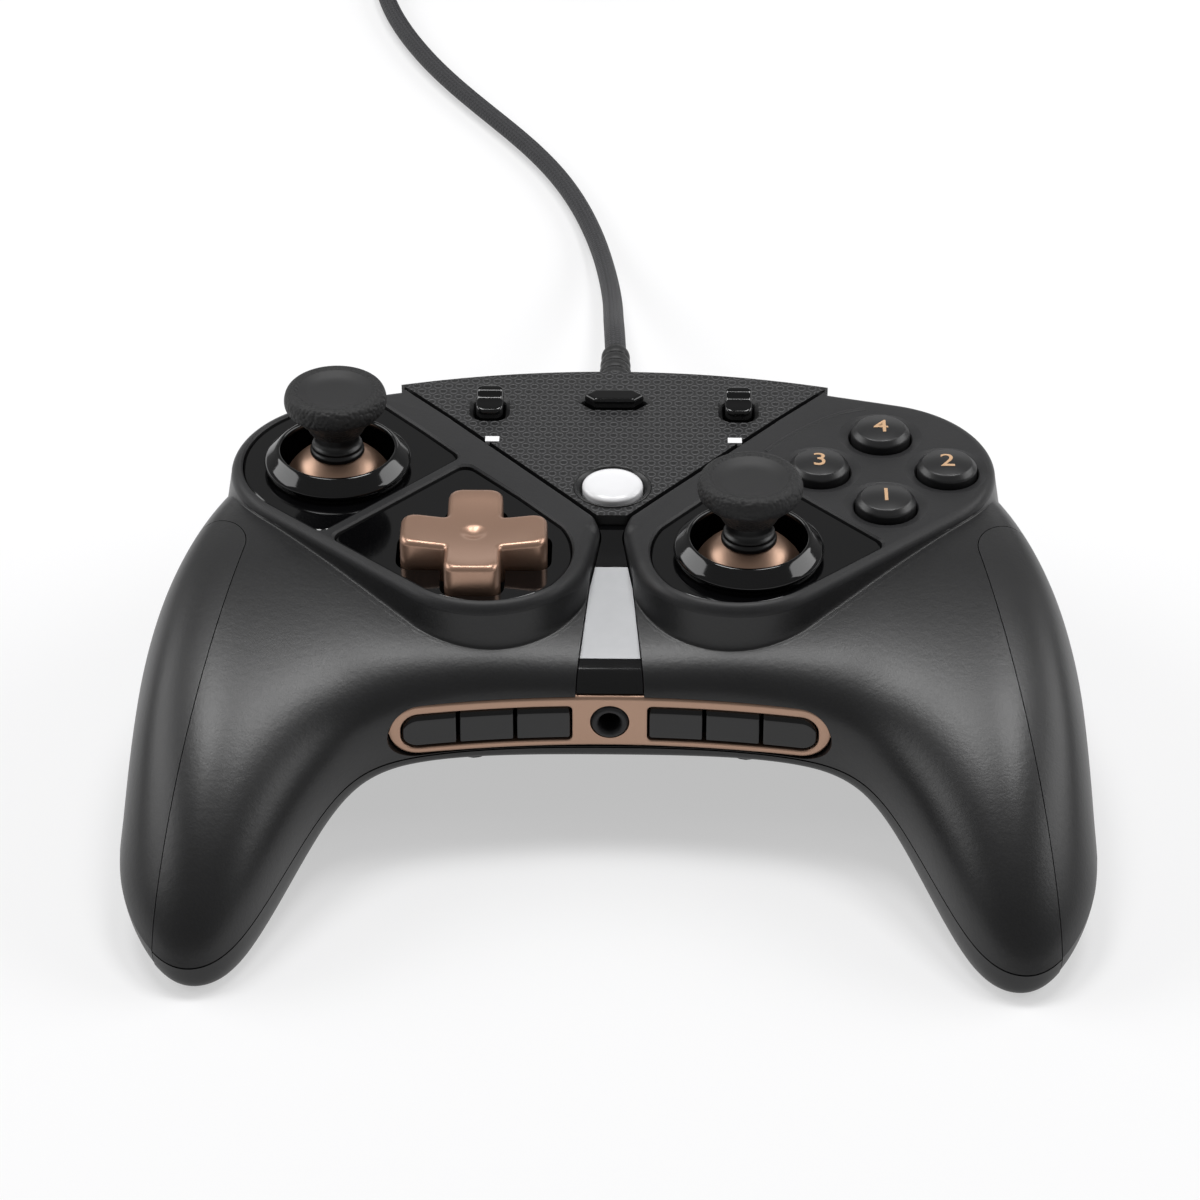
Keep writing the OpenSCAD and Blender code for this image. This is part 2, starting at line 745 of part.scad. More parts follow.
// Thumb sticks: a gimbal inside the dome carries the shaft
pivot_z = -7;
can_z = pivot_z - 9.5;
can_wall = 0.8;
can_floor = 1.5;
ear = [5.6, 7.2];
ear_half = 2.2;
yoke_r = [3.8, 5.2];
yoke_half_h = 1.2;
pivot_half_h = 1.9;
dome_t = 1;
ring_r = [9.9, 13];
ring_top = 3.4;
ring_foot = -tile_drop - 1;
switch_r = 2;
switch_h = 2.4;
can_r = dome_r + 0.5;
module stick_module(tile, at) {
    color("#0f0f10") {
        difference() {
            translate([0, 0, plate_z]) linear_extrude(plate_t) tile_2d(tile, 0);
            translate([at[0], at[1], -far]) cylinder(r = can_r, h = 2 * far);
        }
        translate([at[0], at[1], 0]) {
            rotate_extrude()
                polygon([[can_r, ring_foot], [ring_r[1], ring_foot], [ring_r[1], ring_foot + 1.6],
                         [ring_r[1] - 0.2, 1], [ring_r[1] - 0.8, 2.2], [ring_r[1] - 1.6, ring_top - 0.3],
                         [ring_r[1] - 2.1, ring_top], [ring_r[0] + 0.4, ring_top],
                         [ring_r[0], ring_top - 0.4], [ring_r[0] + 0.2, ring_top - 1],
                         [can_r, ring_top - 2.2]]);
            rotate_extrude()
                polygon([[0, can_z - can_floor], [can_r + can_wall, can_z - can_floor],
                         [can_r + can_wall, ring_foot], [can_r, ring_foot], [can_r, can_z], [0, can_z]]);
            difference() {
                for (sx = [-1, 1])
                    translate([sx * (ear[0] + ear[1]) / 2, 0, 0])
                        translate([-(ear[1] - ear[0]) / 2, -ear_half, can_z - tiny])
                            cube([ear[1] - ear[0], 2 * ear_half, pivot_z - can_z + ear_half]);
                translate([-far / 2, 0, pivot_z])
                    rotate([0, 90, 0]) cylinder(d = yoke_pin_d + 2 * fit, h = far);
            }
            translate([0, 0, can_z - tiny]) cylinder(r = switch_r, h = switch_h);
        }
    }
}
module stick_yoke(at) {
    color("#8a8d90")
        translate([at[0], at[1], pivot_z])
            difference() {
                union() {
                    translate([0, 0, -yoke_half_h]) cylinder(r = yoke_r[1], h = 2 * yoke_half_h);
                    for (sx = [-1, 1])
                        rotate([0, sx * 90, 0])
                            cylinder(d = yoke_pin_d, h = ear[1] - 0.2);
                }
                translate([0, 0, -yoke_half_h - 1]) cylinder(r = yoke_r[0], h = 2 * yoke_half_h + 2);
                rotate([90, 0, 0]) cylinder(d = pivot_pin_d + 2 * fit, h = far, center = true);
            }
}
module stick_pivot(at) {
    color("#3a3a3c")
        translate([at[0], at[1], pivot_z])
            difference() {
                union() {
                    translate([0, 0, -pivot_half_h]) cylinder(r = yoke_r[0] - 0.9, h = 2 * pivot_half_h);
                    rotate([90, 0, 0]) cylinder(d = pivot_pin_d, h = 2 * yoke_r[1] - 0.2, center = true);
                }
                translate([0, 0, -far / 2]) cylinder(d = shaft_d + 2 * fit, h = far);
            }
}
neck_r = 2.9;
neck_top = 9;
collar_r = 4.6;
shaft_drop = 5.5;
module stick(at) {
    color("#9c7a63")
        translate([at[0], at[1], 0]) {
            translate([0, 0, pivot_z])
                difference() {
                    sphere(r = dome_r);
                    sphere(r = dome_r - dome_t);
                    translate([-far / 2, -far / 2, -far + 0.4]) cube([far, far, far]);
                }
            translate([0, 0, pivot_z - shaft_drop])
                cylinder(d = shaft_d, h = shaft_drop + dome_r - dome_t / 2);
            translate([0, 0, pivot_z + dome_r - dome_t / 2])
                cylinder(r = neck_r, h = neck_top - pivot_z - dome_r + dome_t / 2);
            translate([0, 0, pivot_z + dome_r - 0.6]) cylinder(r1 = collar_r, r2 = neck_r + 0.6, h = 1.6);
        }
}
module stick_cap(at) {
    r = cap_d / 2;
    color("#1b1b1c")
        translate([at[0], at[1], 0])
            rotate_extrude()
                polygon([[0, neck_top + gap / 3], [neck_r + gap / 3, neck_top + gap / 3],
                         [neck_r + gap / 3, neck_top - 2], [neck_r + 0.8, neck_top - 2],
                         [neck_r + 2, neck_top - 0.4], [r - 1, neck_top + 2.2], [r - 0.2, neck_top + 3.2],
                         [r, cap_top - 2.2], [r - 0.3, cap_top - 1], [r - 1, cap_top - 0.2],
                         [r - 1.7, cap_top], [r - 2.4, cap_top - 0.2], [r / 2, cap_top - 1],
                         [0, cap_top - 1.3]]);
}

// Direction pad: a hub with two crossed pins lets it rock both ways
dpad_pivot_z = -3;
dpad_base = -3.4;
dpad_top = 4.6;
dpad_round = 2.2;
dpad_gap = 0.8;
dpad_dish_r = 60;
hub_half = 2;
hub_pin_d = 1.6;
dpad_ear = [2.4, 4.2];
dpad_room_r = 5.2;
module dpad_2d() {
    offset(r = -0.6)
        offset(r = dpad_round + 0.6)
            offset(delta = -dpad_round) {
                square([dpad_w, dpad_arm], center = true);
                square([dpad_arm, dpad_w], center = true);
            }
}
module dpad_module(at) {
    color("#0f0f10") {
        difference() {
            translate([0, 0, plate_z]) linear_extrude(plate_t) tile_2d(dpad_tile, 0);
            translate([at[0], at[1], -far / 2]) linear_extrude(far) offset(delta = dpad_gap) dpad_2d();
        }
        difference() {
            tray(dpad_tile, ledge + gap, plate_z + tiny);
            translate([at[0], at[1], tray_floor - wing_d])
                linear_extrude(far) offset(delta = dpad_gap) dpad_2d();
        }
        translate([at[0], at[1], 0])
            difference() {
                for (sx = [-1, 1])
                    translate([sx * (dpad_ear[0] + dpad_ear[1]) / 2, 0, 0])
                        translate([0, 0, tray_floor - wing_d - tiny])
                            linear_extrude(dpad_pivot_z + 1.5 - tray_floor + wing_d)
                                square([dpad_ear[1] - dpad_ear[0], 3], center = true);
                translate([0, 0, dpad_pivot_z])
                    rotate([0, 90, 0]) cylinder(d = hub_pin_d + 2 * fit, h = far, center = true);
            }
    }
}
module dpad_hub(at) {
    color("#8a8d90")
        translate([at[0], at[1], dpad_pivot_z]) {
            cylinder(r = hub_half, h = 2.4, center = true);
            rotate([0, 90, 0]) cylinder(d = hub_pin_d, h = 2 * dpad_ear[1] - 0.4, center = true);
            rotate([90, 0, 0]) cylinder(d = hub_pin_d, h = 2 * dpad_ear[1] - 0.4, center = true);
        }
}
dpad_edge = [[0.7, 0], [0.25, 0.25], [0, 0.7]];
module dpad(at) {
    color("#a9856f")
        translate([at[0], at[1], 0])
            difference() {
                union() {
                    difference() {
                        union() {
                            for (e = dpad_edge)
                                translate([0, 0, dpad_base])
                                    linear_extrude(dpad_top - e[0] - dpad_base)
                                        offset(delta = -e[1]) dpad_2d();
                        }
                        translate([0, 0, -far]) cylinder(r = dpad_room_r, h = far + 1);
                        translate([0, 0, dpad_top + dpad_dish_r - 1]) sphere(r = dpad_dish_r, $fn = 96);
                        translate([0, 0, dpad_top - 1.8]) cylinder(d = 3, h = far);
                    }
                    for (sy = [-1, 1])
                        translate([0, sy * (dpad_ear[0] + dpad_ear[1]) / 2, (dpad_pivot_z + 1) / 2 - 0.6])
                            cube([2.6, dpad_ear[1] - dpad_ear[0], 1.2 - dpad_pivot_z + 1.2], center = true);
                }
                translate([0, 0, dpad_pivot_z])
                    rotate([90, 0, 0])
                        cylinder(d = hub_pin_d + 2 * fit, h = 2 * dpad_ear[1] + 1, center = true);
            }
}

// Face buttons in their cartridge
face_top = 2.2;
face_flange = 0.5;
face_flange_t = 1.1;
face_gap = 0.3;
face_bevel = 1.4;
membrane_t = 0.8;
membrane_dome = 0.6;
face_shift = [-1, -1.1];
face_dirs = [[0, -1], [1, 0], [-1, 0], [0, 1]];
module face_module() {
    color("#29292b")
        tray(face_tile, gap, plate_z - gap);
}
module button_membrane(at) {
    color("#5a5a5c")
        translate([0, 0, tray_floor - wing_d + gap / 3]) {
            difference() {
                linear_extrude(membrane_t) tile_2d(face_tile, -tray_wall - 2 * gap);
                translate([0, 0, wing_d]) bumper_pocket(2 * gap + tray_wall);
            }
            for (d = face_dirs)
                translate([at[0] + face_pitch * d[0], at[1] + face_pitch * d[1], membrane_t - tiny])
                    cylinder(r1 = face_d / 3, r2 = face_d / 4, h = membrane_dome);
        }
}
module face_button(at, k) {
    r = face_d / 2;
    top = plate_z - gap;
    color("#2e2e30")
        translate([at[0] + face_pitch * face_dirs[k][0], at[1] + face_pitch * face_dirs[k][1], 0])
            rotate_extrude()
                polygon([[0, top - face_flange_t], [r + face_flange, top - face_flange_t],
                         [r + face_flange, top], [r, top], [r, face_top - 0.6], [r - 0.25, face_top - 0.1],
                         [r - 0.8, face_top + 0.2], [r / 2, face_top + 0.8], [0, face_top + 1]]);
}

// Bumpers and triggers
module bumper() {
    color("#1d1d1f")
        difference() {
            union() {
                arc_sweep(bumper_x[0], bumper_x[1])
                    polygon([[-bumper_in, bumper_z[0]], [bumper_out - 1.3, bumper_z[0]],
                             [bumper_out, bumper_z[0] + 1.4],
                             [bumper_out, bumper_z[1] - 5.1], [bumper_out - 1.2, bumper_z[1] - 2.2],
                             [bumper_out - 4, bumper_z[1] - 0.4], [bumper_out - 6.5, bumper_z[1]],
                             [-bumper_in, bumper_z[1]]]);
                translate([bumper_pin_at[0], bumper_pin_at[1], bumper_z[0] + bumper_boss_drop])
                    cylinder(r = bumper_boss_r, h = bumper_z[1] - bumper_z[0] - 2 * bumper_boss_drop);
            }
            translate([bumper_pin_at[0], bumper_pin_at[1], -far / 2])
                cylinder(d = bumper_pin_d + 2 * fit, h = far);
        }
}
module bumper_pins() {
    color("#8a8d90")
        for (sx = [-1, 1])
            translate([sx * bumper_pin_at[0], bumper_pin_at[1], bumper_z[0] - 2.5])
                cylinder(d = bumper_pin_d, h = -panel_t / 2 - 0.2 - bumper_z[0] + 2.5);
}
trigger_face = [[45.4, -14.7], [48, -15.5], [49.4, -17.4], [49.9, -20], [49.5, -23.5], [48.6, -27],
                [48, -30], [48, -32.5], [48.7, -34.8], [49.4, -36], [48.6, -36.9], [47, -36.2], [45.4, -33.6],
                [43.6, -29], [41, -25.2], [37, -22.8]];
trigger_round = 4.5;
module trigger() {
    color("#1d1d1f")
        difference() {
            intersection() {
                translate([trigger_x - trigger_w / 2, 0, 0])
                    rotate([90, 0, 90]) {
                        translate(hinge) cylinder(r = hub_r, h = trigger_w);
                        linear_extrude(trigger_w)
                            polygon(concat([hinge + [0, hub_r - 0.4]], trigger_face,
                                           [hinge - [0, hub_r - 0.4]]));
                    }
                translate([trigger_x, far, 0])
                    rotate([90, 0, 0])
                        linear_extrude(far)
                            offset(r = trigger_round)
                                translate([-trigger_w / 2 + trigger_round, -37 + trigger_round])
                                    square([trigger_w - 2 * trigger_round, 37]);
            }
            translate([trigger_x - trigger_w, hinge[0], hinge[1]])
                rotate([0, 90, 0]) cylinder(d = trigger_pin_d + 2 * fit, h = 2 * trigger_w);
        }
}
module trigger_pins() {
    color("#8a8d90")
        for (sx = [-1, 1])
            side(sx) trigger_pin(0);
}
// A pill that follows the slope of the underside, with a lip inside the shell
module rear_button_slab(spot, r, z1, z2) {
    hull()
        for (y = [spot[1], spot[2]])
            translate([spot[0], y, under_z(spot[0], y) - seam_gap + z1])
                cylinder(r = r, h = z2 - z1, $fn = coarse);
}
module rear_button(k) {
    spot = rear_button_spots[k % 2];
    r = rear_button_w / 2;
    lip_z = wall + 3 * gap;
    lip_spot = spot + [0, rear_flange_back, 0];
    color("#1d1d1f")
        side(k < 2 ? -1 : 1) {
            rear_button_slab(spot, r - 0.8, -rear_button_proud, 0);
            rear_button_slab(spot, r, 0.6 - rear_button_proud, lip_z + rear_flange_t / 2);
            rear_button_slab(lip_spot, r + rear_flange, lip_z, lip_z + rear_flange_t);
        }
}

// Inner works
board_edge = [[4.8, -19], [4.8, -17], [39, -17], [39, -23], [49, -23], [49, 10], [40, 24.5],
              [29, 24.5], [29, 39]];
module circuit_board() {
    color("#1d5a3c")
        difference() {
            translate([0, 0, board_z])
                linear_extrude(board_t)
                    polygon(concat(board_edge, [for (p = reversed(board_edge)) [-p[0], p[1]]]));
            at_posts() post(screw_d + 2 * gap, -far, far);
        }
}
module rumble_motors() {
    color("#a7a9ac")
        for (sx = [-1, 1])
            translate([sx * motor_x, motor_y[0], motor_z])
                rotate([-90, 0, 0]) {
                    cylinder(r = motor_r, h = motor_y[1] - motor_y[0]);
                    cylinder(d = motor_shaft_d, h = motor_y[1] - motor_y[0] + weight_t + 2 * gap + 0.6);
                }
}
module rumble_weight() {
    color("#75787c")
        translate([motor_x, motor_y[1] + gap, motor_z])
            rotate([-90, 0, 0])
                difference() {
                    union() {
                        intersection() {
                            cylinder(r = weight_r, h = weight_t);
                            translate([-far / 2, 0, 0]) cube([far, far, far]);
                        }
                        cylinder(d = motor_shaft_d + 3, h = weight_t);
                    }
                    translate([0, 0, -1]) cylinder(d = motor_shaft_d + 2 * fit, h = weight_t + 2);
                }
}
module housing_screws() {
    color("#4a4b4d")
        at_posts() {
            translate([0, 0, screw_seat - screw_head_h - gap / 3])
                cylinder(d = screw_head_d, h = screw_head_h);
            translate([0, 0, screw_seat - gap / 3 - tiny])
                cylinder(d = screw_d, h = screw_tip - screw_seat);
        }
}

// Cable: a free lead along hand-laid points, then a tied coil with the plug on top
table_z = -rest_depth;
lie_z = table_z + cable_d / 2;
tie_t = 0.8;
turn_pitch = cable_d + turn_gap;
coil_mid_r = 6 * cable_d;
coil_z = table_z + tie_t + gap + cable_d / 2;
coil_span = coil_turns * 360 + 180;
coil_low_r = coil_mid_r - turn_pitch * (coil_turns + 0.5) / 2;
coil_out_r = coil_low_r + turn_pitch * (coil_turns + 0.25);
coil_layers = 4;
coil_at = [-26, 330];
plug_half_h = 4;
tie_top = coil_z + 3 * turn_pitch + cable_d / 2 + gap + tie_t;
plug_z = tie_top + gap + plug_half_h;
wind = coil_layers * coil_turns * 360 + (coil_layers - 1) * 180;
tail_bend_r = 3.5 * cable_d;
lead_points = [
    [0, relief_y[1], cable_z], [-0.2, 70, -7.6], [-0.4, 78, -10], [-0.6, 88, -14.5], [-0.8, 100, -20],
    [-1, 114, -26], [-1.5, 128, -31], [-2.4, 142, -35], [-3.8, 156, -38], [-5.9, 169, -39.6],
    [-9.2, 182, lie_z], [-14, 195, lie_z], [-20.6, 208, lie_z], [-28, 220, lie_z], [-35.5, 232, lie_z],
    [-42.3, 244, lie_z], [-48, 256, lie_z], [-53, 269, lie_z], [-56.5, 282, lie_z],
    [-58.5, 295, lie_z], [coil_at[0] - coil_out_r, 308, lie_z + 0.4],
    [coil_at[0] - coil_out_r, coil_at[1] - 2.5 * cable_d, coil_z],
    [coil_at[0] - coil_out_r, coil_at[1] - cable_d, coil_z]
];

// Radius and height of the winding at an angle from its start: in and out again at a steady rate,
// one layer higher in each half turn where the direction reverses
function wind_r(a) = coil_low_r + turn_pitch * abs((a + 90) % (2 * coil_span) - coil_span) / 360;
function ease(s) = s * s * (3 - 2 * s);
function wind_z(a) =
    let (k = floor(a / coil_span), s = (a - k * coil_span - coil_turns * 360) / 180)
    coil_z + turn_pitch * (k + ease(max(0, s)));
function wind_point(a) =
    [coil_at[0] - wind_r(a) * cos(a), coil_at[1] + wind_r(a) * sin(a), wind_z(a)];
function tail_r(a) = coil_out_r + turn_pitch * a / 360;
function tail_point(a) =
    [coil_at[0] + tail_r(a) * cos(a), coil_at[1] - tail_r(a) * sin(a),
     coil_z + 3 * turn_pitch + (plug_z - coil_z - 3 * turn_pitch) * ease(a / 180)];
tail_end = tail_point(180);
function bend_point(a) =
    tail_end + tail_bend_r * [1 - cos(a), sin(a), 0];
ring_step = 15;
coil_points = concat(
    [[coil_at[0] - coil_out_r, coil_at[1] - cable_d, coil_z]],
    [for (a = [0:ring_step:wind - 1]) wind_point(a)],
    [for (a = [0:ring_step:179]) tail_point(a)],
    [for (a = [0:ring_step:90]) bend_point(a)],
    [bend_point(90) + [cable_d, 0, 0]]);
function unit(v) = v / norm(v);
function flat_side(t) = unit([t[1], -t[0], 0]);
module tube(pts, r, sides, start_dir, end_dir) {
    n = len(pts);
    rings = [for (i = [0:n - 1])
             let (t = i == 0 ? start_dir : i == n - 1 ? end_dir : unit(pts[i + 1] - pts[i - 1]),
                  s = flat_side(t), up = cross(s, t))
             [for (k = [0:sides - 1]) pts[i] + r * (cos(360 * k / sides) * s + sin(360 * k / sides) * up)]];
    loft(rings, false);
}
lead_steps = 30;
lead_crowd = 1.4;
module cable_lead() {
    color("#3b3b3d")
        tube([for (k = [0:lead_steps]) spline(lead_points, pow(k / lead_steps, lead_crowd))],
             cable_d / 2, 8, [0, 1, 0], [0, 1, 0]);
}
module cable_coil() {
    color("#3b3b3d")
        tube(coil_points, cable_d / 2, 6, [0, 1, 0], [1, 0, 0]);
}
module coil_tie() {
    r1 = coil_low_r - cable_d / 2 - 1.4;
    r2 = coil_out_r + turn_pitch / 4 + cable_d / 2 + gap;
    h = tie_top - table_z;
    color("#18181a")
        translate([coil_at[0], coil_at[1], table_z])
            rotate(45)
                rotate([90, 0, 0])
                    linear_extrude(8, center = true)
                        difference() {
                            translate([r1 - tie_t, 0]) square([r2 - r1 + 2 * tie_t, h]);
                            translate([r1, tie_t]) square([r2 - r1, h - 2 * tie_t]);
                        }
}
plug_body = [24, 15.5];
plug_shell = [18.5, 12, 4.5];
plug_nose_r = 3.2;
module usb_plug() {
    start = bend_point(90) + [cable_d, 0, 0];
    color("#202022")
        translate(start)
            rotate([90, 0, 90]) {
                cylinder(r1 = cable_d / 2 + 0.6, r2 = plug_nose_r, h = 6);
                translate([0, 0, 5])
                    linear_extrude(plug_body[0])
                        offset(r = 1.5)
                            square([plug_body[1] - 3, 2 * plug_half_h - 3], center = true);
                translate([0, 0, 5 + plug_body[0] - tiny])
                    linear_extrude(plug_shell[0])
                        difference() {
                            square([plug_shell[1], plug_shell[2]], center = true);
                            translate([0, plug_shell[2] / 4 - 0.2])
                                square([plug_shell[1] - 0.8, plug_shell[2] / 2 - 0.4], center = true);
                        }
            }
}
module strain_relief() {
    run = relief_y[1] - relief_y[0];
    step = (run - 8) / relief_ribs;
    color("#1a1a1b")
        translate([0, relief_y[0], cable_z])
            rotate([-90, 0, 0])
                rotate_extrude() {
                    polygon([[0, 0], [relief_r[0], 0], [relief_r[0], 7], [relief_r[1], run - 1],
                             [relief_r[1] - 0.4, run], [0, run]]);
                    square([relief_r[0] + relief_flange, relief_flange_t]);
                    for (k = [0:relief_ribs - 1])
                        translate([0, 7.5 + k * step])
                            square([relief_r[0] - 0.9 * k / relief_ribs, step / 2]);
                }
}

// Least free gap between parts of the winding that are more than half a turn apart
coil_gap = min([for (i = [0:len(coil_points) - 1], j = [i + 12:1:len(coil_points) - 1])
                norm(coil_points[i] - coil_points[j])]) - cable_d;
echo(coil_gap = coil_gap);
coil_steps = [for (i = [1:len(coil_points) - 1]) norm(coil_points[i] - coil_points[i - 1])];
echo(coil_length = coil_steps * [for (s = coil_steps) 1]);

left_stick_at = [outer_x, row_y];
face_at = left_stick_at + face_shift;
right_stick_at = [inner_x, -row_y];
place() top_shell();
place() bottom_shell();
place() side(-1) side_grip();  // left_grip
place() side(1) side_grip();  // right_grip
place() side(-1) wing([stick_tile, dpad_tile]);  // left_wing
place() right_wing(face_at);
place() centre_panel();
place() centre_strip();
place() strip_inlay();
place() front_bezel();
place() audio_jack();
for (i = [0:5])
    place() front_key(i);
place() guide_button();
place() side(-1) menu_key();  // view_button
place() side(1) menu_key();  // menu_button
place() share_button();
place() side(-1) dpad_module(right_stick_at);
place() side(-1) dpad_hub(right_stick_at);
place() side(-1) dpad(right_stick_at);
place() side(-1) stick_module(stick_tile, left_stick_at);  // left_stick_module
place() side(-1) stick_yoke(left_stick_at);  // left_stick_yoke
place() side(-1) stick_pivot(left_stick_at);  // left_stick_pivot
place() side(-1) stick(left_stick_at);  // left_stick
place() side(-1) stick_cap(left_stick_at);  // left_stick_cap
place() stick_module(right_tile, right_stick_at);  // right_stick_module
place() stick_yoke(right_stick_at);  // right_stick_yoke
place() stick_pivot(right_stick_at);  // right_stick_pivot
place() stick(right_stick_at);  // right_stick
place() stick_cap(right_stick_at);  // right_stick_cap
place() face_module();
place() button_membrane(face_at);
for (k = [0:3])
    place() face_button(face_at, k);
place() side(-1) bumper();  // left_bumper
place() side(1) bumper();  // right_bumper
place() bumper_pins();
place() side(-1) trigger();  // left_trigger
place() side(1) trigger();  // right_trigger
place() trigger_pins();
for (k = [0:3])
    place() rear_button(k);
place() circuit_board();
place() rumble_motors();
place() side(-1) rumble_weight();  // left_rumble_weight
place() side(1) rumble_weight();  // right_rumble_weight
place() housing_screws();
place() strain_relief();
place() cable_lead();
place() cable_coil();
place() coil_tie();
place() usb_plug();
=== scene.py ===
import json
import math

import bmesh
import bpy
import numpy as np
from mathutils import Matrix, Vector

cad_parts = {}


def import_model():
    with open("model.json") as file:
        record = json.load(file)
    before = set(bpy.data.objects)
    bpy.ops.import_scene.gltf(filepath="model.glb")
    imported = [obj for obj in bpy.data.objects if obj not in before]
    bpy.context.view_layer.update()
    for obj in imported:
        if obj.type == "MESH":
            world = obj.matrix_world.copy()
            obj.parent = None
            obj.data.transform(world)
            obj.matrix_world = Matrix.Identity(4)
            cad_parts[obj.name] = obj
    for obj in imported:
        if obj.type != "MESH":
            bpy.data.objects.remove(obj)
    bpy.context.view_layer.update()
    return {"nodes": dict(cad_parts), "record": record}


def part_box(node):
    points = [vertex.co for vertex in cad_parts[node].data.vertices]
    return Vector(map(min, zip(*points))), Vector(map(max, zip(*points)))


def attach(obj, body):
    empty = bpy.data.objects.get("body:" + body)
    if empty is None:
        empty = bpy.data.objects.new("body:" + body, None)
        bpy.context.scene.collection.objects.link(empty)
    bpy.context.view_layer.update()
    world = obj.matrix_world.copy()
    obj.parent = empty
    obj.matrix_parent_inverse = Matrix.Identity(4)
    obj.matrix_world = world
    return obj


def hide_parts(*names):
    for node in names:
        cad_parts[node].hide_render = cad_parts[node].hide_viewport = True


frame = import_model()
nodes = frame["nodes"]
behaviour, subparts = frame["record"]["behaviour"], frame["record"]["subparts"]
bodyOf = {node: body for body, names in behaviour["bodies"].items() for node in names}
print("frame loaded:", len(nodes), "nodes")

# Deck frame: millimetres, origin on the deck's top in the middle between the two rows of controls
deck = {"y": 15.9, "top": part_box("left_wing")[1].z, "skin": 0.05}
mm = 0.001
deckOrigin = np.array([0.0, deck["y"] * mm, deck["top"]])


def world(points):
    # metres in the shared frame from millimetres in the deck frame
    return np.asarray(points, float) * mm + deckOrigin


# Camera: placed from the photograph's vanishing lines
photo = {"size": 1200, "focal": 4180.0, "distance": 730.0, "elevation": 33.0, "turn": 0.55,
         "deckPixel": (612.0, 507.0), "sensor": 36.0, "clip": (0.05, 20.0)}


def makeCamera():
    # looks down at the given elevation, and is aimed off the deck's origin so that it falls on its pixel
    turn, tilt = math.radians(photo["turn"]), math.radians(photo["elevation"])
    right = Vector((math.cos(turn), math.sin(turn), 0))
    ahead = Vector((-math.sin(turn), math.cos(turn), 0))
    forward = ahead * math.cos(tilt) - Vector((0, 0, 1)) * math.sin(tilt)
    up = ahead * math.sin(tilt) + Vector((0, 0, 1)) * math.cos(tilt)
    middle = photo["size"] / 2
    aim = (forward + right * ((middle - photo["deckPixel"][0]) / photo["focal"])
           + up * ((photo["deckPixel"][1] - middle) / photo["focal"]))
    data = bpy.data.cameras.new("camera")
    data.sensor_width = photo["sensor"]
    data.lens = photo["focal"] / photo["size"] * data.sensor_width
    data.clip_start, data.clip_end = photo["clip"]
    camera = bpy.data.objects.new("camera", data)
    camera.location = Vector(deckOrigin) - forward * photo["distance"] * mm
    camera.rotation_euler = aim.to_track_quat("-Z", "Y").to_euler()
    bpy.context.scene.collection.objects.link(camera)
    bpy.context.scene.camera = camera


makeCamera()
print("camera placed")


# Mesh helpers

def gridFaces(rows, cols, closeRows=False, closeCols=False):
    # quads between neighbouring points of a rows x cols grid, wrapping round where it is closed
    r = np.arange(rows if closeRows else rows - 1)[:, None]
    c = np.arange(cols if closeCols else cols - 1)[None, :]
    r2, c2 = (r + 1) % rows, (c + 1) % cols
    quads = np.stack([r * cols + c, r * cols + c2, r2 * cols + c2, r2 * cols + c], -1)
    return quads.reshape(-1, 4)


def newMesh(name, points, faces):
    # an object at the origin whose mesh holds points of the deck frame
    mesh = bpy.data.meshes.new(name)
    mesh.from_pydata(world(points).tolist(), [], [list(map(int, f)) for f in faces])
    piece = bpy.data.objects.new(name, mesh)
    bpy.context.scene.collection.objects.link(piece)
    return piece


def clean(piece, merge=True):
    # merge doubled points at poles and seams, and turn every face outwards
    work = bmesh.new()
    work.from_mesh(piece.data)
    if merge:
        bmesh.ops.remove_doubles(work, verts=work.verts, dist=1e-7)
        bmesh.ops.dissolve_degenerate(work, edges=work.edges, dist=1e-8)
    bmesh.ops.recalc_face_normals(work, faces=work.faces)
    work.to_mesh(piece.data)
    work.free()
    return piece


def smooth(piece, angle=32):
    # smooth shading, apart from edges that are sharper than an angle in degrees
    piece.data.polygons.foreach_set("use_smooth", [True] * len(piece.data.polygons))
    piece.data.set_sharp_from_angle(angle=math.radians(angle))
    return piece


def dress(piece, look, *stands, rides=None, slotName=None):
    # a piece stands in for CAD nodes, or only rides with one, and takes that node's body
    host = rides or stands[0]
    piece.data.materials.clear()
    piece.data.materials.append(look)
    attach(piece, bodyOf[host])
    if stands:
        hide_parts(*stands)
    return piece


def combine(piece, others, operation):
    # solid algebra between closed meshes, applied at once; the other solids are used up
    for other in others:
        step = piece.modifiers.new("step", "BOOLEAN")
        step.operation = operation
        step.solver = "MANIFOLD"
        step.object = other
        bpy.context.view_layer.update()
        graph = bpy.context.evaluated_depsgraph_get()
        made = bpy.data.meshes.new_from_object(piece.evaluated_get(graph))
        piece.modifiers.clear()
        old, piece.data = piece.data, made
        bpy.data.meshes.remove(old)
        bpy.data.objects.remove(other)
    return piece


def cut(piece, *others):
    # a solid less others
    return combine(piece, others, "DIFFERENCE")


def join(piece, *others):
    # a solid with others added
    return combine(piece, others, "UNION")


def common(piece, *others):
    # what a solid shares with others
    return combine(piece, others, "INTERSECT")


def arcLength(points, closed=False):
    # length run along a line up to each of its points
    ends = np.vstack([points, points[:1]]) if closed else points
    return np.concatenate([[0], np.cumsum(np.linalg.norm(np.diff(ends, axis=0), axis=1))])


def resample(points, count, closed=False):
    # points at equal steps of length along a line
    points = np.asarray(points, float)
    length = arcLength(points, closed)
    ends = np.vstack([points, points[:1]]) if closed else points
    at = np.linspace(0, length[-1], count, endpoint=not closed)
    return np.stack([np.interp(at, length, ends[:, k]) for k in range(points.shape[1])], -1)


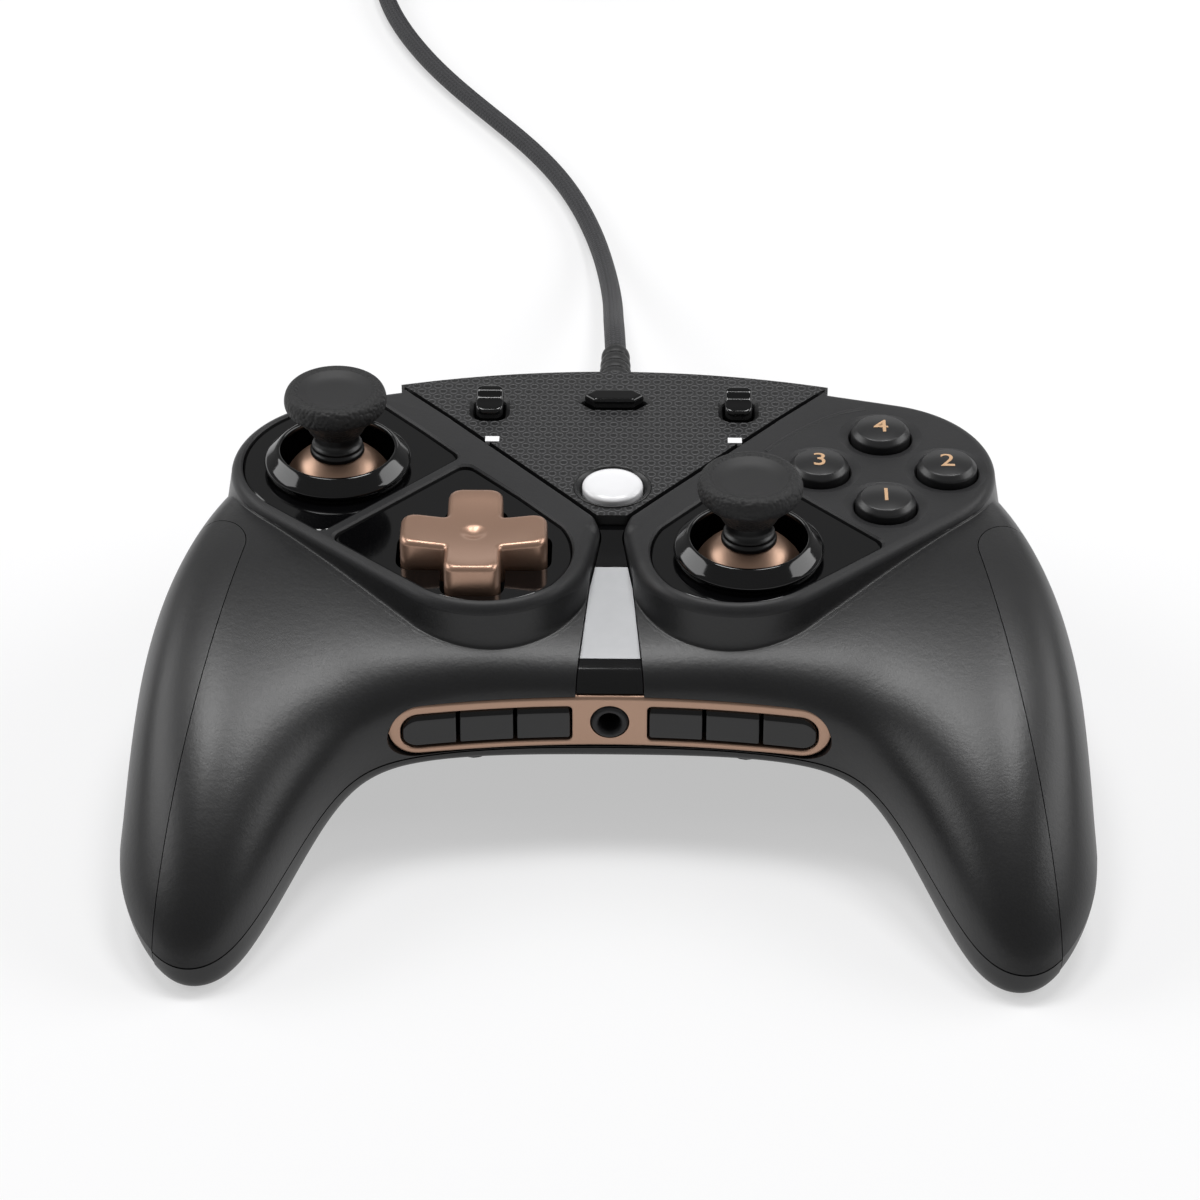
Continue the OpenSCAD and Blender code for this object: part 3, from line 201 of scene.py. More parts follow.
def rounded(points, radius, steps=5):
    # each inner corner becomes a parabola that leaves and meets its two sides at the given reach
    points = np.asarray(points, float)
    radius = np.broadcast_to(radius, len(points))
    out = [points[:1]]
    for k in range(1, len(points) - 1):
        before, here, after = points[k - 1:k + 2]
        toBefore, toAfter = before - here, after - here
        reachA = min(radius[k], np.linalg.norm(toBefore) * 0.49)
        reachB = min(radius[k], np.linalg.norm(toAfter) * 0.49)
        a = here + toBefore / np.linalg.norm(toBefore) * reachA
        b = here + toAfter / np.linalg.norm(toAfter) * reachB
        t = np.linspace(0, 1, steps)[:, None]
        out.append((1 - t) ** 2 * a + 2 * t * (1 - t) * here + t ** 2 * b)
    out.append(points[-1:])
    return np.vstack(out)


def turned(points, axis):
    # an upright shape laid along another axis: its height becomes depth (y) or width (x)
    order = {"z": (0, 1, 2), "y": (0, 2, 1), "x": (2, 0, 1)}[axis]
    return np.asarray(points, float)[:, list(order)]


def revolve(name, profile, at, axis="z", steps=96):
    # a profile of (radius, height) pairs turned once round an axis through a place in the deck
    turn = np.linspace(0, 2 * math.pi, steps, endpoint=False)
    r, h = np.asarray(profile, float).T
    points = np.stack([np.outer(np.cos(turn), r), np.outer(np.sin(turn), r),
                       np.broadcast_to(h, (steps, len(h)))], -1).reshape(-1, 3)
    return clean(newMesh(name, turned(points, axis) + at, gridFaces(steps, len(r), closeRows=True)))


def prism(name, outline, low, high, axis="z"):
    # a flat outline carried straight along an axis from low to high
    flat, count = np.asarray(outline, float), len(outline)
    points = np.vstack([np.column_stack([flat, np.full(count, h)]) for h in (low, high)])
    faces = gridFaces(2, count, closeCols=True).tolist()
    faces += [list(range(count))[::-1], list(range(count, 2 * count))]
    return clean(newMesh(name, turned(points, axis), faces))


def box(name, low, high):
    # an upright block between two corners
    corners = [(low[0], low[1]), (high[0], low[1]), (high[0], high[1]), (low[0], high[1])]
    return prism(name, corners, low[2], high[2])


def circle(radius, at=(0.0, 0.0), steps=64):
    # points at even angles round a place
    turn = np.linspace(0, 2 * math.pi, steps, endpoint=False)
    return np.stack([at[0] + radius * np.cos(turn), at[1] + radius * np.sin(turn)], -1)


def flip(outline, side):
    # a shape of the right half, or its mirror image for the left half
    return np.asarray(outline, float) * ((side,) + (1,) * (np.shape(outline)[-1] - 1))


def slab(name, outline, profile):
    # an outline, a function of its inset, stacked in rings along a profile of (inset, height)
    rings = [outline(inset) for inset, z in profile]
    count = len(rings[0])
    rings = [np.column_stack([ring, np.full(count, z)]) for ring, (inset, z) in zip(rings, profile)]
    faces = [list(f) for f in gridFaces(len(rings), count, closeCols=True)]
    faces.append(list(range(count))[::-1])
    faces.append(list(range((len(rings) - 1) * count, len(rings) * count)))
    return clean(newMesh(name, np.vstack(rings), faces))


# Convex outlines as half planes: normals at even angles, and their distances from a middle point

planeAngles = np.linspace(0, 2 * math.pi, 720, endpoint=False)
planeNormals = np.stack([np.cos(planeAngles), np.sin(planeAngles)], -1)


def circlesPlanes(circles):
    # support distance of the hull of circles: the farthest circle along each normal
    c = np.asarray(circles, float)
    return planeNormals, (planeNormals @ c[:, :2].T + c[:, 2]).max(1)


def convexOutline(normals, distances, middle, inset=0.0, roundness=0.0, count=240):
    # polar reach to the nearest half plane, then opened by a disc so that its corners are round
    middle = np.asarray(middle, float)
    angles = np.linspace(0, 2 * math.pi, 1440, endpoint=False)
    ways = np.stack([np.cos(angles), np.sin(angles)], -1)
    room = distances - normals @ middle - inset - roundness
    lean = ways @ normals.T
    reach = np.where(lean > 1e-4, room / np.maximum(lean, 1e-4), np.inf).min(1)
    inner = middle + ways * reach[:, None]
    if roundness > 0:
        inner = inner[(planeNormals @ inner.T).argmax(1)] + planeNormals * roundness
    return resample(inner, count, closed=True)


def rise(value, low, high):
    # 0 below low and 1 above high, with a smooth cubic run between them
    t = np.clip((value - low) / (high - low), 0, 1)
    return t * t * (3 - 2 * t)


def splineBasis(count, samples):
    # weights of a clamped cubic spline over a row of control points at even parameters
    t = np.linspace(0, 1, samples) * (count + 1)
    i = np.minimum(t.astype(int), count)
    s = t - i
    share = np.stack([(1 - s) ** 3, 3 * s ** 3 - 6 * s ** 2 + 4,
                      -3 * s ** 3 + 3 * s ** 2 + 3 * s + 1, s ** 3], -1) / 6
    basis = np.zeros((samples, count))
    for k in range(4):
        np.add.at(basis, (np.arange(samples), np.clip(i - 2 + k, 0, count - 1)), share[:, k])
    return basis


# Finishes: shared effects are node groups, each finish has its own values

def groupTree(name, inputs, outputs):
    # an empty node group with its named sockets
    tree = bpy.data.node_groups.new(name, "ShaderNodeTree")
    for label, kind, value in inputs:
        socket = tree.interface.new_socket(label, in_out="INPUT", socket_type=kind)
        socket.default_value = value
    for label, kind in outputs:
        tree.interface.new_socket(label, in_out="OUTPUT", socket_type=kind)
    return tree, tree.nodes.new("NodeGroupInput"), tree.nodes.new("NodeGroupOutput")


def mathNode(tree, operation, a, b=None, c=None, clamp=False):
    # one step of arithmetic on sockets or plain numbers
    node = tree.nodes.new("ShaderNodeMath")
    node.operation = operation
    node.use_clamp = clamp
    for k, value in enumerate((a, b, c)):
        if value is None:
            continue
        if isinstance(value, (int, float)):
            node.inputs[k].default_value = value
        else:
            tree.links.new(value, node.inputs[k])
    return node.outputs[0]


def noiseNode(tree, where, scale, detail=2.0, roughness=0.5):
    # cloudy noise from 0 to 1, its scale a socket or a plain number
    node = tree.nodes.new("ShaderNodeTexNoise")
    tree.links.new(where, node.inputs["Vector"])
    if isinstance(scale, (int, float)):
        node.inputs["Scale"].default_value = scale
    else:
        tree.links.new(scale, node.inputs["Scale"])
    node.inputs["Detail"].default_value = detail
    node.inputs["Roughness"].default_value = roughness
    return node.outputs["Fac"]


def makeGrain():
    # fine moulded grain: two sizes of noise for height, and a broad slow cloud for tone
    tree, given, made = groupTree("mouldedGrain", [("Fine", "NodeSocketFloat", 3000.0),
                                                   ("Broad", "NodeSocketFloat", 60.0)],
                                  [("Height", "NodeSocketFloat"), ("Tone", "NodeSocketFloat")])
    where = tree.nodes.new("ShaderNodeTexCoord").outputs["Object"]
    fine = noiseNode(tree, where, given.outputs["Fine"])
    coarse = noiseNode(tree, where, mathNode(tree, "MULTIPLY", given.outputs["Fine"], 0.35))
    height = mathNode(tree, "MULTIPLY_ADD", coarse, 0.6, mathNode(tree, "MULTIPLY", fine, 0.4))
    tree.links.new(height, made.inputs["Height"])
    broad = noiseNode(tree, where, given.outputs["Broad"], detail=4.0, roughness=0.6)
    tone = mathNode(tree, "MULTIPLY_ADD", fine, 0.5, mathNode(tree, "MULTIPLY", broad, 0.5))
    tree.links.new(tone, made.inputs["Tone"])
    return tree


def makePebble():
    # leather-like pebbles: distance to the nearest cell point, rounded off
    tree, given, made = groupTree("rubberPebble", [("Scale", "NodeSocketFloat", 1500.0)],
                                  [("Height", "NodeSocketFloat"), ("Tone", "NodeSocketFloat")])
    where = tree.nodes.new("ShaderNodeTexCoord").outputs["Object"]
    cells = tree.nodes.new("ShaderNodeTexVoronoi")
    cells.feature = "SMOOTH_F1"
    tree.links.new(where, cells.inputs["Vector"])
    tree.links.new(given.outputs["Scale"], cells.inputs["Scale"])
    height = mathNode(tree, "SUBTRACT", 1.0, mathNode(tree, "POWER", cells.outputs["Distance"], 1.6))
    tree.links.new(height, made.inputs["Height"])
    tree.links.new(noiseNode(tree, where, 400.0), made.inputs["Tone"])
    return tree


def makeDots():
    # rows of upright ovals, every second row moved by half a pitch; the mask is 1 inside an oval
    tree, given, made = groupTree("ovalRows", [("Across", "NodeSocketFloat", 1.95),
                                               ("Along", "NodeSocketFloat", 1.84),
                                               ("Size", "NodeSocketFloat", 0.34),
                                               ("Face", "NodeSocketFloat", 0.0)],
                                  [("Inside", "NodeSocketFloat"), ("Rim", "NodeSocketFloat")])
    where = tree.nodes.new("ShaderNodeTexCoord").outputs["Object"]
    parts = tree.nodes.new("ShaderNodeSeparateXYZ")
    tree.links.new(where, parts.inputs[0])
    row = mathNode(tree, "DIVIDE", mathNode(tree, "MULTIPLY", parts.outputs["Y"], 1000.0),
                   given.outputs["Along"])
    odd = mathNode(tree, "MULTIPLY", mathNode(tree, "MODULO", mathNode(tree, "FLOOR", row), 2.0), 0.5)
    column = mathNode(tree, "ADD", mathNode(tree, "DIVIDE", mathNode(
        tree, "MULTIPLY", parts.outputs["X"], 1000.0), given.outputs["Across"]), odd)
    dx = mathNode(tree, "SUBTRACT", mathNode(tree, "FRACT", mathNode(tree, "ADD", column, 100.0)), 0.5)
    dy = mathNode(tree, "SUBTRACT", mathNode(tree, "FRACT", row), 0.5)
    flatter = mathNode(tree, "MULTIPLY", dy, 0.86)
    reach = mathNode(tree, "SQRT", mathNode(tree, "ADD", mathNode(tree, "POWER", dx, 2.0),
                                            mathNode(tree, "POWER", flatter, 2.0)))
    edge = mathNode(tree, "SUBTRACT", given.outputs["Size"], reach)
    face = mathNode(tree, "GREATER_THAN", parts.outputs["Z"], given.outputs["Face"])
    inside = mathNode(tree, "MULTIPLY_ADD", edge, 14.0, 0.5, clamp=True)
    tree.links.new(mathNode(tree, "MULTIPLY", inside, face), made.inputs["Inside"])
    away = mathNode(tree, "MULTIPLY", mathNode(tree, "ABSOLUTE", edge), 10.0)
    ring = mathNode(tree, "SUBTRACT", 1.0, away, clamp=True)
    tree.links.new(mathNode(tree, "MULTIPLY", ring, face), made.inputs["Rim"])
    return tree


def makeBraid():
    # two families of slanted strands over the cord's own UV map, each bulging over the other in turn
    tree, given, made = groupTree("braidedSleeve", [("Turns", "NodeSocketFloat", 8.0),
                                                    ("Pitch", "NodeSocketFloat", 900.0)],
                                  [("Height", "NodeSocketFloat"), ("Tone", "NodeSocketFloat")])
    where = tree.nodes.new("ShaderNodeTexCoord").outputs["UV"]
    parts = tree.nodes.new("ShaderNodeSeparateXYZ")
    tree.links.new(where, parts.inputs[0])
    turnsRound = mathNode(tree, "MULTIPLY", parts.outputs["X"], given.outputs["Turns"])
    along = mathNode(tree, "MULTIPLY", parts.outputs["Y"], given.outputs["Pitch"])
    strands = []
    for sign in (1.0, -1.0):
        phase = mathNode(tree, "MULTIPLY_ADD", along, sign, turnsRound)
        strands.append(mathNode(tree, "SINE", mathNode(tree, "MULTIPLY", phase, 2 * math.pi)))
    height = mathNode(tree, "MULTIPLY_ADD", mathNode(tree, "MAXIMUM", *strands), 0.5, 0.5)
    tree.links.new(height, made.inputs["Height"])
    tone = mathNode(tree, "MULTIPLY_ADD", mathNode(tree, "MULTIPLY", *strands), 0.5, 0.5)
    tree.links.new(tone, made.inputs["Tone"])
    return tree


grainTree, pebbleTree, dotTree, braidTree = makeGrain(), makePebble(), makeDots(), makeBraid()


def linear(shade):
    # linear light from a display colour written as red, green, blue from 0 to 255
    s = np.asarray(shade, float) / 255
    return tuple(np.where(s <= 0.04045, s / 12.92, ((s + 0.055) / 1.055) ** 2.4)) + (1.0,)


def mixColour(tree, factor, a, b):
    # a blend of two colours, each a socket or a fixed colour
    node = tree.nodes.new("ShaderNodeMix")
    node.data_type = "RGBA"
    tree.links.new(factor, node.inputs["Factor"])
    for socket, value in ((node.inputs[6], a), (node.inputs[7], b)):
        if isinstance(value, tuple):
            socket.default_value = value
        else:
            tree.links.new(value, socket)
    return node.outputs[2]


def spread(tree, value, low, high):
    # a value from 0 to 1 laid out between two limits
    node = tree.nodes.new("ShaderNodeMapRange")
    tree.links.new(value, node.inputs["Value"])
    node.inputs["To Min"].default_value = low
    node.inputs["To Max"].default_value = high
    return node.outputs["Result"]


def newLook(name, effect):
    # a material with its principled surface, and an effect's node group beside it
    look = bpy.data.materials.new(name)
    look.use_nodes = True
    tree = look.node_tree
    group = tree.nodes.new("ShaderNodeGroup")
    group.node_tree = effect
    return look, tree, tree.nodes["Principled BSDF"], group


def addBump(tree, surface, height, strength, distance):
    # a height, with its distance in millimetres, tilts the surface's normal
    node = tree.nodes.new("ShaderNodeBump")
    node.inputs["Strength"].default_value = strength
    node.inputs["Distance"].default_value = distance * mm
    tree.links.new(height, node.inputs["Height"])
    tree.links.new(node.outputs["Normal"], surface.inputs["Normal"])


def finish(name, effect, values, dark, light, rough, bump, **shader):
    # a principled surface whose colour and roughness follow an effect's tone, its bump the height
    look, tree, surface, group = newLook(name, effect)
    for label, value in values.items():
        group.inputs[label].default_value = value
    tone = group.outputs["Tone"]
    tree.links.new(mixColour(tree, tone, linear(dark), linear(light)), surface.inputs["Base Color"])
    tree.links.new(spread(tree, tone, *rough), surface.inputs["Roughness"])
    if bump:
        addBump(tree, surface, group.outputs["Height"], *bump)
    for label, value in shader.items():
        surface.inputs[label].default_value = value
    return look


def patterned(name, ground, dotShade, line, rough, bump):
    # rows of ovals sunk into the panel's upper face alone: their darker inside is painted shade, and the
    # lighter line round each is a painted highlight on its edge
    look, tree, surface, group = newLook(name, dotTree)
    group.inputs["Face"].default_value = deck["top"] - deck["skin"] * mm
    inside, rim = group.outputs["Inside"], group.outputs["Rim"]
    # painted shade inside the ovals, then a painted highlight along their rims
    colour = mixColour(tree, inside, linear(ground), linear(dotShade))
    tree.links.new(mixColour(tree, rim, colour, linear(line)), surface.inputs["Base Color"])
    tree.links.new(spread(tree, inside, *rough), surface.inputs["Roughness"])
    addBump(tree, surface, mathNode(tree, "SUBTRACT", rim, inside), *bump)
    return look


soft = {"Specular IOR Level": 0.48}
dull = {"Specular IOR Level": 0.28}
# each finish: effect and its values, dark and light tone, range of roughness, bump strength and distance
looks = {
    "shell": finish("satinShell", grainTree, {"Fine": 2300.0}, (13, 13, 14), (32, 32, 33),
                    (0.3, 0.42), (0.5, 0.08), **soft),
    "under": finish("satinUnderside", grainTree, {"Fine": 2300.0}, (16, 16, 17), (22, 22, 23),
                    (0.38, 0.48), (0.22, 0.05), **soft),
    "grip": finish("gripSkin", grainTree, {"Fine": 2300.0}, (13, 13, 14), (32, 32, 33),
                   (0.34, 0.46), (0.5, 0.08), **soft),
    "wing": finish("satinFrame", grainTree, {"Fine": 2600.0}, (30, 30, 31), (49, 49, 50),
                   (0.4, 0.5), (0.35, 0.07), **dull),
    "gloss": finish("glossBlack", grainTree, {"Fine": 300.0}, (5, 5, 6), (8, 8, 9),
                    (0.06, 0.1), None),
    "satinBlack": finish("satinBlack", grainTree, {"Fine": 3500.0}, (10, 10, 11), (15, 15, 16),
                         (0.3, 0.42), (0.1, 0.03), **soft),
    "bronze": finish("satinBronze", grainTree, {"Fine": 6000.0}, (166, 134, 114), (182, 150, 130),
                     (0.3, 0.4), (0.12, 0.02), Metallic=0.8),
    "padBronze": finish("padBronze", grainTree, {"Fine": 6000.0}, (168, 134, 114), (182, 148, 128),
                        (0.28, 0.36), (0.1, 0.02), Metallic=0.7),
    "numeral": finish("numeralInk", grainTree, {"Fine": 3000.0}, (196, 158, 120), (214, 176, 138),
                      (0.4, 0.5), None),
    # the dark ovals are painted shade in the sunk dots, and the light lines are painted highlights on their
    # edges
    "panel": patterned("patternedPanel", (20, 20, 21), (4, 4, 5), (66, 66, 68), (0.45, 0.4), (0.6, 0.15)),
    "lamp": finish("indicatorBar", grainTree, {"Fine": 300.0}, (244, 244, 245), (252, 252, 253),
                   (0.3, 0.4), None),
    "rubber": finish("pebbledRubber", pebbleTree, {"Scale": 1700.0}, (13, 13, 14), (24, 24, 25),
                     (0.55, 0.72), (0.9, 0.3), **soft),
    "capTop": finish("smoothRubber", grainTree, {"Fine": 5000.0}, (18, 18, 19), (26, 26, 27),
                     (0.48, 0.6), (0.2, 0.03), **soft),
    "button": finish("satinButton", grainTree, {"Fine": 5200.0}, (22, 22, 23), (30, 30, 31),
                     (0.3, 0.4), (0.1, 0.03), **soft),
    "steel": finish("brightSteel", grainTree, {"Fine": 2500.0}, (150, 152, 155), (180, 182, 185),
                    (0.22, 0.36), (0.08, 0.02), Metallic=1.0),
    # the inlay is a mirror: its pale base with little metal is a painted reflection of bright surroundings
    "mirror": finish("inlayPaintedReflection", grainTree, {"Fine": 500.0}, (164, 165, 167), (176, 177, 179),
                     (0.3, 0.38), None, Metallic=0.25),
    "relief": finish("softBlack", grainTree, {"Fine": 2600.0}, (14, 14, 15), (20, 20, 21),
                     (0.42, 0.55), (0.2, 0.04), **soft),
    "braid": finish("braidedSleeve", braidTree, {}, (20, 20, 22), (60, 60, 63), (0.55, 0.75),
                    (0.8, 0.25), **soft),
    "board": finish("circuitBoard", grainTree, {"Fine": 900.0}, (16, 60, 38), (26, 82, 54),
                    (0.35, 0.5), (0.1, 0.03)),
    "membrane": finish("greyRubber", grainTree, {"Fine": 2000.0}, (84, 84, 86), (98, 98, 100),
                       (0.6, 0.75), (0.15, 0.03)),
    "pale": finish("paleLens", grainTree, {"Fine": 300.0}, (236, 236, 238), (246, 246, 248),
                   (0.18, 0.26), None),
}
print("finishes ready:", len(looks))


# Floor, world and lamps

studio = {"floor": (244, 244, 245), "floorHalf": 6.0, "floorDrop": 0.0004, "floorRough": 0.9,
          # world light, share of white over the seen floor, share of white in what shiny surfaces mirror
          "ambient": 0.12, "veil": 0.5, "mirrored": 0.15,
          # name, place and aim in metres, size across and along, power
          "lamps": [("topLeftSoftbox", (-0.3, 0.3, 1.4), (0, 0, 0.03), (0.4, 0.4), 6.8),
                    ("topRightSoftbox", (0.3, 0.3, 1.4), (0, 0, 0.03), (0.4, 0.4), 6.8),
                    ("leftSoftbox", (-1.1, 0.3, 0.75), (0, 0, 0.03), (1.1, 0.6), 7.0),
                    ("rightSoftbox", (1.1, 0.3, 0.75), (0, 0, 0.03), (1.1, 0.6), 7.0),
                    ("rearSoftbox", (0.0, 1.5, 0.5), (0, 0, 0.03), (1.4, 0.3), 1.2)]}


def whiteShare(tree, mirrored):
    # 1 for rays from the camera and through glass, and a share for rays from a shiny surface
    path = tree.nodes.new("ShaderNodeLightPath")
    clear = mathNode(tree, "MAXIMUM", path.outputs["Is Camera Ray"], path.outputs["Is Transmission Ray"])
    shiny = mathNode(tree, "MULTIPLY", path.outputs["Is Glossy Ray"], mirrored)
    return mathNode(tree, "MAXIMUM", clear, shiny)


def blendShaders(tree, share, plain, white, target):
    # a share of one shader over another, into an output
    mix = tree.nodes.new("ShaderNodeMixShader")
    for socket, source in zip(mix.inputs, (share, plain.outputs[0], white.outputs[0])):
        tree.links.new(source, socket)
    tree.links.new(mix.outputs[0], tree.nodes[target].inputs["Surface"])


def makeWorld():
    # dim white light from all round, and a white background for the camera
    studioWorld = bpy.data.worlds.new("studio")
    studioWorld.use_nodes = True
    bpy.context.scene.world = studioWorld
    tree = studioWorld.node_tree
    dim, white = tree.nodes["Background"], tree.nodes.new("ShaderNodeBackground")
    for node, strength in ((dim, studio["ambient"]), (white, 1.0)):
        node.inputs["Color"].default_value = (1, 1, 1, 1)
        node.inputs["Strength"].default_value = strength
    blendShaders(tree, whiteShare(tree, studio["mirrored"]), dim, white, "World Output")


def makeFloor():
    # a wide pale square just below the object, with a share of plain white over what is seen of it
    half = studio["floorHalf"]
    mesh = bpy.data.meshes.new("floor")
    corners = [(-half, -half, 0), (half, -half, 0), (half, half, 0), (-half, half, 0)]
    mesh.from_pydata(corners, [], [(0, 1, 2, 3)])
    floor = bpy.data.objects.new("floor", mesh)
    floor.location.z = -studio["floorDrop"]
    bpy.context.scene.collection.objects.link(floor)
    paint = bpy.data.materials.new("paleFloor")
    paint.use_nodes = True
    tree = paint.node_tree
    surface = tree.nodes["Principled BSDF"]
    surface.inputs["Base Color"].default_value = linear(studio["floor"])
    surface.inputs["Roughness"].default_value = studio["floorRough"]
    seen = mathNode(tree, "MULTIPLY", whiteShare(tree, 1.0), studio["veil"])
    blendShaders(tree, seen, surface, tree.nodes.new("ShaderNodeEmission"), "Material Output")
    mesh.materials.append(paint)


def makeLamps():
    # rectangular soft boxes, each turned towards its aim
    for name, place, aim, size, power in studio["lamps"]:
        data = bpy.data.lights.new(name, "AREA")
        data.shape = "RECTANGLE"
        data.size, data.size_y = size
        data.energy = power
        lamp = bpy.data.objects.new(name, data)
        lamp.location = place
        lamp.rotation_euler = (Vector(aim) - Vector(place)).to_track_quat("-Z", "Y").to_euler()
        bpy.context.scene.collection.objects.link(lamp)


bpy.context.scene.view_settings.view_transform = "Standard"
makeWorld()
makeFloor()
makeLamps()
print("stage ready")


# Braided cable: one tube along the lead and the wound coil

cable = {"d": 4.0, "sides": 12, "table": -42.0, "tie": 0.8, "gap": 0.3, "turnGap": 0.5, "turns": 4,
         "layers": 4, "coilAt": (-26.0, 330.0), "plugHalf": 4.0,
         # radius of the coil's middle and of the bend at the plug, in cord diameters
         "coilR": 6.0, "bendR": 3.5,
         # degrees and millimetres from point to point, and points along the lead
         "turnStep": 5.0, "step": 1.5, "leadSteps": 400}
pitch = cable["d"] + cable["turnGap"]
lieZ = cable["table"] + cable["d"] / 2
coilZ = lieZ + cable["tie"] + cable["gap"]
coilLowR = cable["coilR"] * cable["d"] - pitch * (cable["turns"] + 0.5) / 2
coilOutR = coilLowR + pitch * (cable["turns"] + 0.25)
coilTop = coilZ + (cable["layers"] - 1) * pitch
tieTop = coilTop + cable["d"] / 2 + cable["gap"] + cable["tie"]
plugZ = tieTop + cable["gap"] + cable["plugHalf"]
coilX, coilY = cable["coilAt"]
leadPoints = [(0, 64, -7), (-0.2, 70, -7.6), (-0.4, 78, -10), (-0.6, 88, -14.5), (-0.8, 100, -20),
              (-1, 114, -26), (-1.5, 128, -31), (-2.4, 142, -35), (-3.8, 156, -38), (-5.9, 169, -39.6),
              (-9.2, 182, lieZ), (-14, 195, lieZ), (-20.6, 208, lieZ), (-28, 220, lieZ),
              (-35.5, 232, lieZ), (-42.3, 244, lieZ), (-48, 256, lieZ), (-53, 269, lieZ),
              (-56.5, 282, lieZ), (-58.5, 295, lieZ), (coilX - coilOutR, 308, lieZ + 0.4),
              (coilX - coilOutR, coilY - 2.5 * cable["d"], coilZ),
              (coilX - coilOutR, coilY - cable["d"], coilZ)]


def coilPoints():
    # a spiral that runs in and out at a steady rate, and climbs a layer in each half turn where it
    # reverses; then half a turn up to the plug's height and a quarter bend over the coil
    span = cable["turns"] * 360 + 180
    layers, step = cable["layers"], cable["turnStep"]
    a = np.arange(0, layers * cable["turns"] * 360 + (layers - 1) * 180, step)
    r = coilLowR + pitch * np.abs((a + 90) % (2 * span) - span) / 360
    layer = np.floor(a / span)
    z = coilZ + pitch * (layer + rise(a - layer * span, span - 180, span))
    t = np.radians(a)
    wound = np.stack([coilX - r * np.cos(t), coilY + r * np.sin(t), z], -1)
    b = np.arange(0, 180, step)
    r, t = coilOutR + pitch * b / 360, np.radians(b)
    tail = np.stack([coilX + r * np.cos(t), coilY - r * np.sin(t),
                     coilTop + (plugZ - coilTop) * rise(b, 0, 180)], -1)
    end = np.array([coilX - coilOutR - pitch / 2, coilY, plugZ])
    c = np.radians(np.arange(0, 91, step))
    bend = end + cable["bendR"] * cable["d"] * np.stack([1 - np.cos(c), np.sin(c), 0 * c], -1)
    return np.vstack([wound, tail, bend, bend[-1] + [cable["d"], 0, 0]])


def tubeMesh(name, path, radius, sides):
    # a circle carried along a path, its side vector always level; the UV map runs round and along
    t = np.gradient(path, axis=0)
    t /= np.linalg.norm(t, axis=1)[:, None]
    side = np.stack([t[:, 1], -t[:, 0], 0 * t[:, 0]], -1)
    side /= np.linalg.norm(side, axis=1)[:, None]
    up = np.cross(side, t)
    a = np.linspace(0, 2 * math.pi, sides + 1)[:-1]
    rings = (path[:, None] + radius * (np.cos(a)[None, :, None] * side[:, None]
                                       + np.sin(a)[None, :, None] * up[:, None]))
    count = len(path)
    quads = gridFaces(count, sides, closeCols=True)[:, ::-1]
    faces = [list(q) for q in quads] + [list(range(sides)),
                                        list(range(count * sides - 1, (count - 1) * sides - 1, -1))]
    piece = newMesh(name, rings.reshape(-1, 3), faces)
    along = arcLength(path)[quads // sides] * mm
    around = (quads % sides) / sides
    overSeam = np.ptp(around, axis=1)[:, None] > 0.5
    around = np.where(overSeam & (around < 0.5), around + 1, around)
    uv = np.vstack([np.stack([around, along], -1).reshape(-1, 2), np.zeros((2 * sides, 2))])
    piece.data.uv_layers.new(name="route").data.foreach_set("uv", uv.ravel())
    return smooth(piece, 60)


def makeCable():
    # the lead is a spline along its given points; with the coil it is one line of even steps
    controls = np.asarray(leadPoints, float)
    lead = splineBasis(len(controls), cable["leadSteps"]) @ controls
    route = np.vstack([lead, coilPoints()[1:]])
    keep = np.concatenate([[True], np.linalg.norm(np.diff(route, axis=0), axis=1) > 1e-4])
    route = route[keep]
    count = int(arcLength(route)[-1] / cable["step"])
    route = resample(route, count)
    piece = tubeMesh("braided_cable", route, cable["d"] / 2, cable["sides"])
    dress(piece, looks["braid"], "cable_lead", "cable_coil")


makeCable()


# Housing: two smooth spline shells, closed inside by their walls, and the side grip skins

